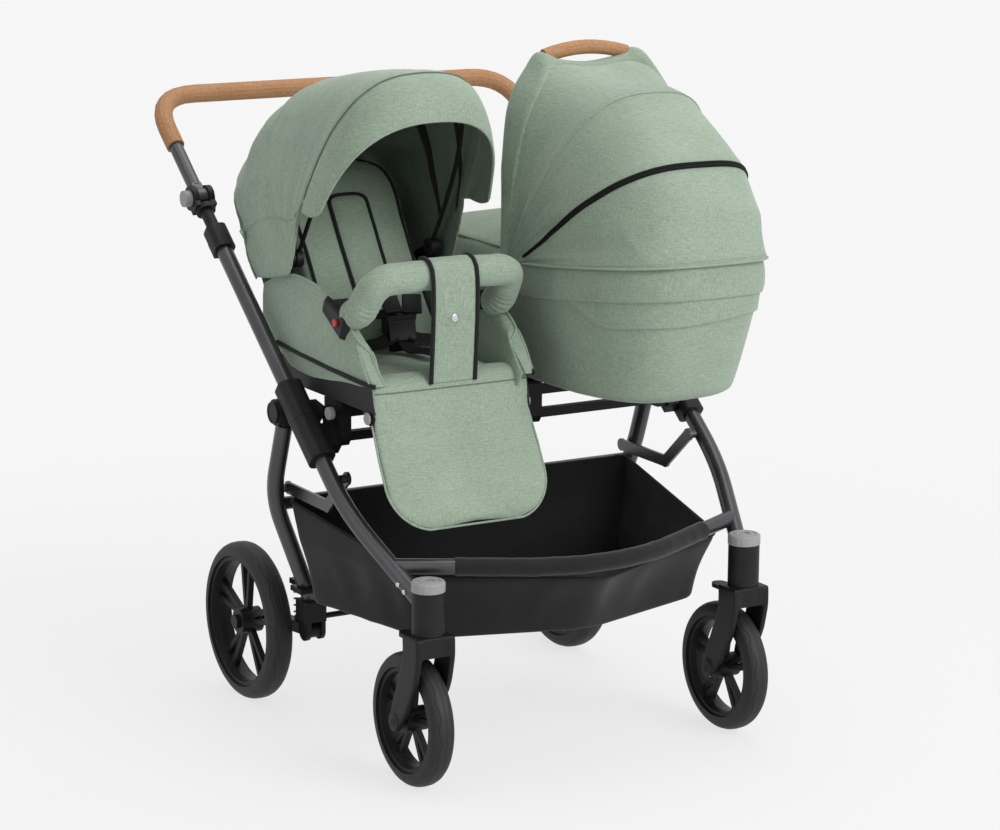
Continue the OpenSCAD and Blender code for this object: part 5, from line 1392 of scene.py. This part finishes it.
# Castor forks: one casting each in glass-filled nylon, with a broad crown under the housing and two curved
# legs that sweep back to the axle. Two ears behind the crown carry the swivel-lock lever.
def plate(name, outline, x0, x1):
    """A flat piece with an outline in Y and Z, between two places across the pram."""
    mesh = bpy.data.meshes.new(name)
    mesh.from_pydata([(x0, y, z) for y, z in outline], [], [list(range(len(outline)))])
    piece = bpy.data.objects.new(name, mesh)
    scene.collection.objects.link(piece)
    only(piece)
    bpy.ops.object.mode_set(mode="EDIT")
    bpy.ops.mesh.select_mode(type="FACE")
    bpy.ops.mesh.select_all(action="SELECT")
    bpy.ops.mesh.extrude_region_move(TRANSFORM_OT_translate={"value": (x1 - x0, 0, 0)})
    bpy.ops.mesh.select_all(action="SELECT")
    bpy.ops.mesh.normals_make_consistent(inside=False)
    bpy.ops.object.mode_set(mode="OBJECT")
    return piece


def rod(name, place, radius, length, axis="X", vertices=40):
    """A round bar along one axis, to be worked on."""
    bpy.ops.object.select_all(action="DESELECT")
    turn = {"X": (0, math.radians(90), 0), "Z": (0, 0, 0)}[axis]
    bpy.ops.mesh.primitive_cylinder_add(vertices=vertices, radius=radius, depth=length, location=place, rotation=turn)
    piece = bpy.context.object
    piece.name = name
    bpy.ops.object.transform_apply(location=True, rotation=True, scale=True)
    return piece


leg_front = bent([(0, -0.4300, 0.2600), (0, -0.4320, 0.2300), (0, -0.4200, 0.1800), (0, -0.3930, 0.1330),
                  (0, -0.3700, 0.1030)], 0.016, 8)
leg_boss = [(0, -0.356 + 0.0150 * math.cos(t), 0.109 + 0.0150 * math.sin(t)) for t in np.linspace(math.radians(205),
        math.radians(392), 18)]
leg_rear = bent([(0, -0.3480, 0.1400), (0, -0.3640, 0.1760), (0, -0.3790, 0.2120), (0, -0.3830, 0.2380),
                 (0, -0.3800, 0.2600)], 0.014, 8)
leg_outline = [(p[1], p[2]) for p in list(leg_front) + leg_boss + list(leg_rear)]
for s, name in ((-1, "left"), (1, "right")):
    middle = s * CASTOR_X
    shapes = []
    for k in (-1, 1):
        shapes.append(plate("leg", leg_outline, middle + k * 0.0250, middle + k * 0.0350))
        shapes.append(rod("boss", (middle + k * 0.0312, -0.356, 0.109), 0.0152, 0.0125))
        ear = [(-0.396, 0.230), (-0.372, 0.2365), (-0.366, 0.2360), (-0.3625, 0.2400), (-0.3622, 0.2460),
               (-0.366, 0.2515), (-0.372, 0.2520), (-0.396, 0.2580)]
        shapes.append(plate("ear", ear, middle + k * 0.0147, middle + k * 0.0192))
    bpy.ops.object.select_all(action="DESELECT")
    bpy.ops.mesh.primitive_cube_add(size=1, location=(middle, -0.4065, 0.2440), scale=(0.068, 0.046, 0.033))
    shapes.append(bpy.context.object)
    bpy.ops.object.transform_apply(location=True, scale=True)
    shapes.append(rod("collar", (middle, CASTOR_Y, 0.2490), 0.0272, 0.0250, "Z"))
    fork = joined("castor_fork_cast_" + name, shapes)
    casting = fork.modifiers.new("casting", "REMESH")
    casting.mode, casting.voxel_size = "VOXEL", 0.0013
    bpy.ops.object.modifier_apply(modifier=casting.name)
    fillets = fork.modifiers.new("fillets", "SMOOTH")
    fillets.factor, fillets.iterations = 0.5, 26
    bpy.ops.object.modifier_apply(modifier=fillets.name)
    lighter = fork.modifiers.new("lighter", "DECIMATE")
    lighter.ratio = 0.35
    bpy.ops.object.modifier_apply(modifier=lighter.name)
    bpy.ops.object.shade_smooth()
    finish_of(fork, black_plastic)
    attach(fork, "castor_" + name[0])
    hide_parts("castor_fork_" + name)
    axle = rod("castor_axle_" + name, (middle, -0.356, 0.109), 0.0058, 0.0770, vertices=32)
    pick_faces(axle, lambda face: abs(face.normal.x) > 0.9)
    bpy.ops.mesh.inset(thickness=0.0022, depth=-0.0012, use_individual=True)
    bpy.ops.object.mode_set(mode="OBJECT")
    round_edges(axle, 0.0007, 3)
    bpy.ops.object.shade_smooth_by_angle(angle=math.radians(40))
    finish_of(axle, black_plastic)
    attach(axle, "castor_" + name[0])

# Castor caps: grey moulded caps pressed on the housings. Broad flats round the rim give a grip,
# and a ring in the top surrounds the release button.
caps = []
for s, name in ((-1, "left"), (1, "right")):
    cap = rod("castor_cap_" + name, (s * CASTOR_X, CASTOR_Y, 0.33855), 0.0272, 0.0145, "Z", 18)
    for inset, sink in ((0.0026, 0.0024), (0.0052, 0.0007), (0.0006, -0.0014), (0.0012, 0.0), (0.0006, 0.0014),
                        (0.0075, 0.0), (0.0002, -0.0060)):
        bpy.ops.object.mode_set(mode="EDIT")
        bpy.ops.mesh.select_mode(type="FACE")
        bpy.ops.mesh.select_all(action="DESELECT")
        bpy.ops.object.mode_set(mode="OBJECT")
        top = max((face for face in cap.data.polygons if face.normal.z > 0.9 and len(face.vertices) > 8),
                  key=lambda face: -(face.center.xy - Vector((s * CASTOR_X, CASTOR_Y))).length * 100 - face.area)
        top.select = True
        bpy.ops.object.mode_set(mode="EDIT")
        bpy.ops.mesh.inset(thickness=inset)
        bpy.ops.transform.translate(value=(0, 0, sink))
        bpy.ops.object.mode_set(mode="OBJECT")
    rounding = cap.modifiers.new("rounding", "BEVEL")
    rounding.width, rounding.segments = 0.0009, 3
    rounding.limit_method, rounding.angle_limit = "ANGLE", math.radians(14)
    bpy.ops.object.modifier_apply(modifier=rounding.name)
    bpy.ops.object.shade_smooth_by_angle(angle=math.radians(35))
    finish_of(cap, grey_nylon)
    caps.append(cap)
cap_pair = joined("castor_caps_moulded", caps)
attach(cap_pair, "front_frame")
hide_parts("castor_caps")


# Rivets and knobs: domed steel rivets close the tubes into the castor housings (the link pivots' rivets are not drawn),
# and a grey push knob on each outer bracket lets a seat unit go.
def stud(name, place, way, radius, depth, finish, body):
    """A turned stud with a rounded, dished head, its back on place and its head towards way."""
    piece = rod(name, (0, 0, depth / 2), radius, depth, "Z", 28)
    pick_faces(piece, lambda face: face.normal.z > 0.9)
    bpy.ops.mesh.inset(thickness=radius * 0.45, depth=-radius * 0.10)
    bpy.ops.object.mode_set(mode="OBJECT")
    round_edges(piece, radius * 0.22, 4)
    bpy.ops.object.shade_smooth_by_angle(angle=math.radians(40))
    piece.rotation_euler = Vector((0, 0, 1)).rotation_difference(Vector(way)).to_euler()
    piece.location = place
    bpy.ops.object.transform_apply(location=True, rotation=True, scale=True)
    finish_of(piece, finish)
    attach(piece, body)


bright_steel = Finish("bright_steel", Metallic=1.0)
turned = bright_steel.noise((1, 1, 1), 3.0, 320.0)
bright_steel.feed("Base Color", bright_steel.ramp(turned, [(0.2, (0.46, 0.46, 0.47)), (0.8, (0.62, 0.62, 0.63))]))
bright_steel.feed("Roughness", 0.22 + 0.18 * turned)
for s, name in ((-1, "left"), (1, "right")):
    foot = Vector((s * CASTOR_X, CASTOR_Y, 0.300))
    climb = (Vector((s * 0.357, *up_tube(-0.187))) - foot).normalized()
    outward = (Vector((s, 0, 0)) - climb * climb.x * s).normalized()
    for k, reach in enumerate((0.046, 0.062)):
        stud("castor_rivet_%d_%s" % (k, name), foot + climb * reach + outward * 0.0132, outward, 0.0042, 0.0026,
             bright_steel, "front_frame")
    stud("footrest_hinge_cap_" + name, (SEAT + s * 0.1445, -0.260, 0.5815), (s, 0, 0), 0.0100, 0.0050, grey_nylon,
         "seat")
    stud("bracket_knob_" + name, (s * 0.3285, -0.141, 0.568), (s, 0, 0), 0.0105, 0.0110, grey_nylon, "front_frame")


# Shopping basket: a bag of black coated cloth that hangs in the front frame from a sleeve on the front crossbar.
# It sags in soft upright folds between its corners, and its top edge is bound all round.
def rounded_loop(corners, reach, arc=7, straight=14):
    """A closed path with rounded corners, with the same number of places for every loop."""
    corners = [Vector(c) for c in corners]
    count = len(corners)
    loop = []
    for i in range(count):
        before, here, after = corners[i - 1], corners[i], corners[(i + 1) % count]
        a = here + (before - here).normalized() * reach
        b = here + (after - here).normalized() * reach
        nxt = corners[(i + 1) % count]
        c = nxt + (here - nxt).normalized() * reach
        loop += [a * (1 - s) ** 2 + here * (2 * s * (1 - s)) + b * s ** 2 for s in (k / arc for k in range(arc + 1))]
        loop += [b.lerp(c, k / straight) for k in range(1, straight)]
    return loop


basket_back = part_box("basket")[1][1]
BASKET = [[(0.333, basket_back - 0.001, 0.390), (-0.333, basket_back - 0.001, 0.390), (-0.286, -0.344, 0.3355),
           (0, -0.450, 0.3215), (0.286, -0.344, 0.3355)],
          [(0.320, 0.005, 0.296), (-0.320, 0.005, 0.296), (-0.278, -0.333, 0.286), (0, -0.429, 0.280),
           (0.278, -0.333, 0.286)],
          [(0.304, 0.0, 0.217), (-0.304, 0.0, 0.217), (-0.264, -0.321, 0.226), (0, -0.402, 0.226),
           (0.264, -0.321, 0.226)]]
loops = [rounded_loop(level, reach) for level, reach in zip(BASKET, (0.018, 0.030, 0.036))]


def basket_at(level, k):
    """level runs from 0 at the top edge to 2 at the bottom."""
    i = min(int(level), 1)
    return loops[i][k].lerp(loops[i + 1][k], level - i)


basket_rows = [[basket_at(level, k) for k in range(len(loops[0]))] for level in np.linspace(0, 2, 25)]
base = basket_rows[-1]
middle = sum(base, Vector()) / len(base)
for share in (0.97, 0.9, 0.75, 0.55, 0.35, 0.15, 0.002):
    basket_rows.append([middle.lerp(p, share) - Vector((0, 0, 0.010 * (1 - share ** 2))) for p in base])
basket = cloth_sheet("basket_bag", basket_rows, black_cloth, ring=True, centre=middle + Vector((0, 0, 0.05)))


def basket_folds(p):
    """Upright folds that swell between the top edge and the floor, and a slight sag inwards."""
    down = max(0.0, min(1.0, (0.325 - p.z) / 0.095))
    upright = creases(p, 10, (1.4, 1.4, 0.22), 71.0) - 0.4
    swell = math.sin(math.pi * min(1.0, 0.12 + down * 0.88))
    fold = 0.0060 * upright * swell if p.z > 0.222 else 0.003 * upright
    return fold - 0.006 * math.sin(math.pi * down)


crumple(basket, basket_folds)
finished(basket, 0.0024, 1)
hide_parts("basket")
basket_trim = [drawn_tube("basket_edge", [p + Vector((0, 0, 0.001)) for p in loops[0]], 0.0032, black_binding,
                          "front_frame", sides=2, closed=True)]
sleeve_line = [p for p in even_line(bow_line, 120) if abs(p.x) < 0.236]


def sleeve_radius(f, t):
    slack = 0.0009 * noise.noise(Vector((f * 30, math.cos(t), math.sin(t))))
    return 0.0150 + slack + 0.0006 * bump_at(min(f, 1 - f), 0.0, 0.02)


sleeve = cloth_sheet("basket_sleeve", sleeve_rows(sleeve_line, sleeve_radius, 22), black_cloth, ring=True,
                     centre=(0, -0.40, 0.33))
basket_trim.append(finished(sleeve, 0.0014, 1))
for piece in [basket] + basket_trim:
    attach(piece, "front_frame")
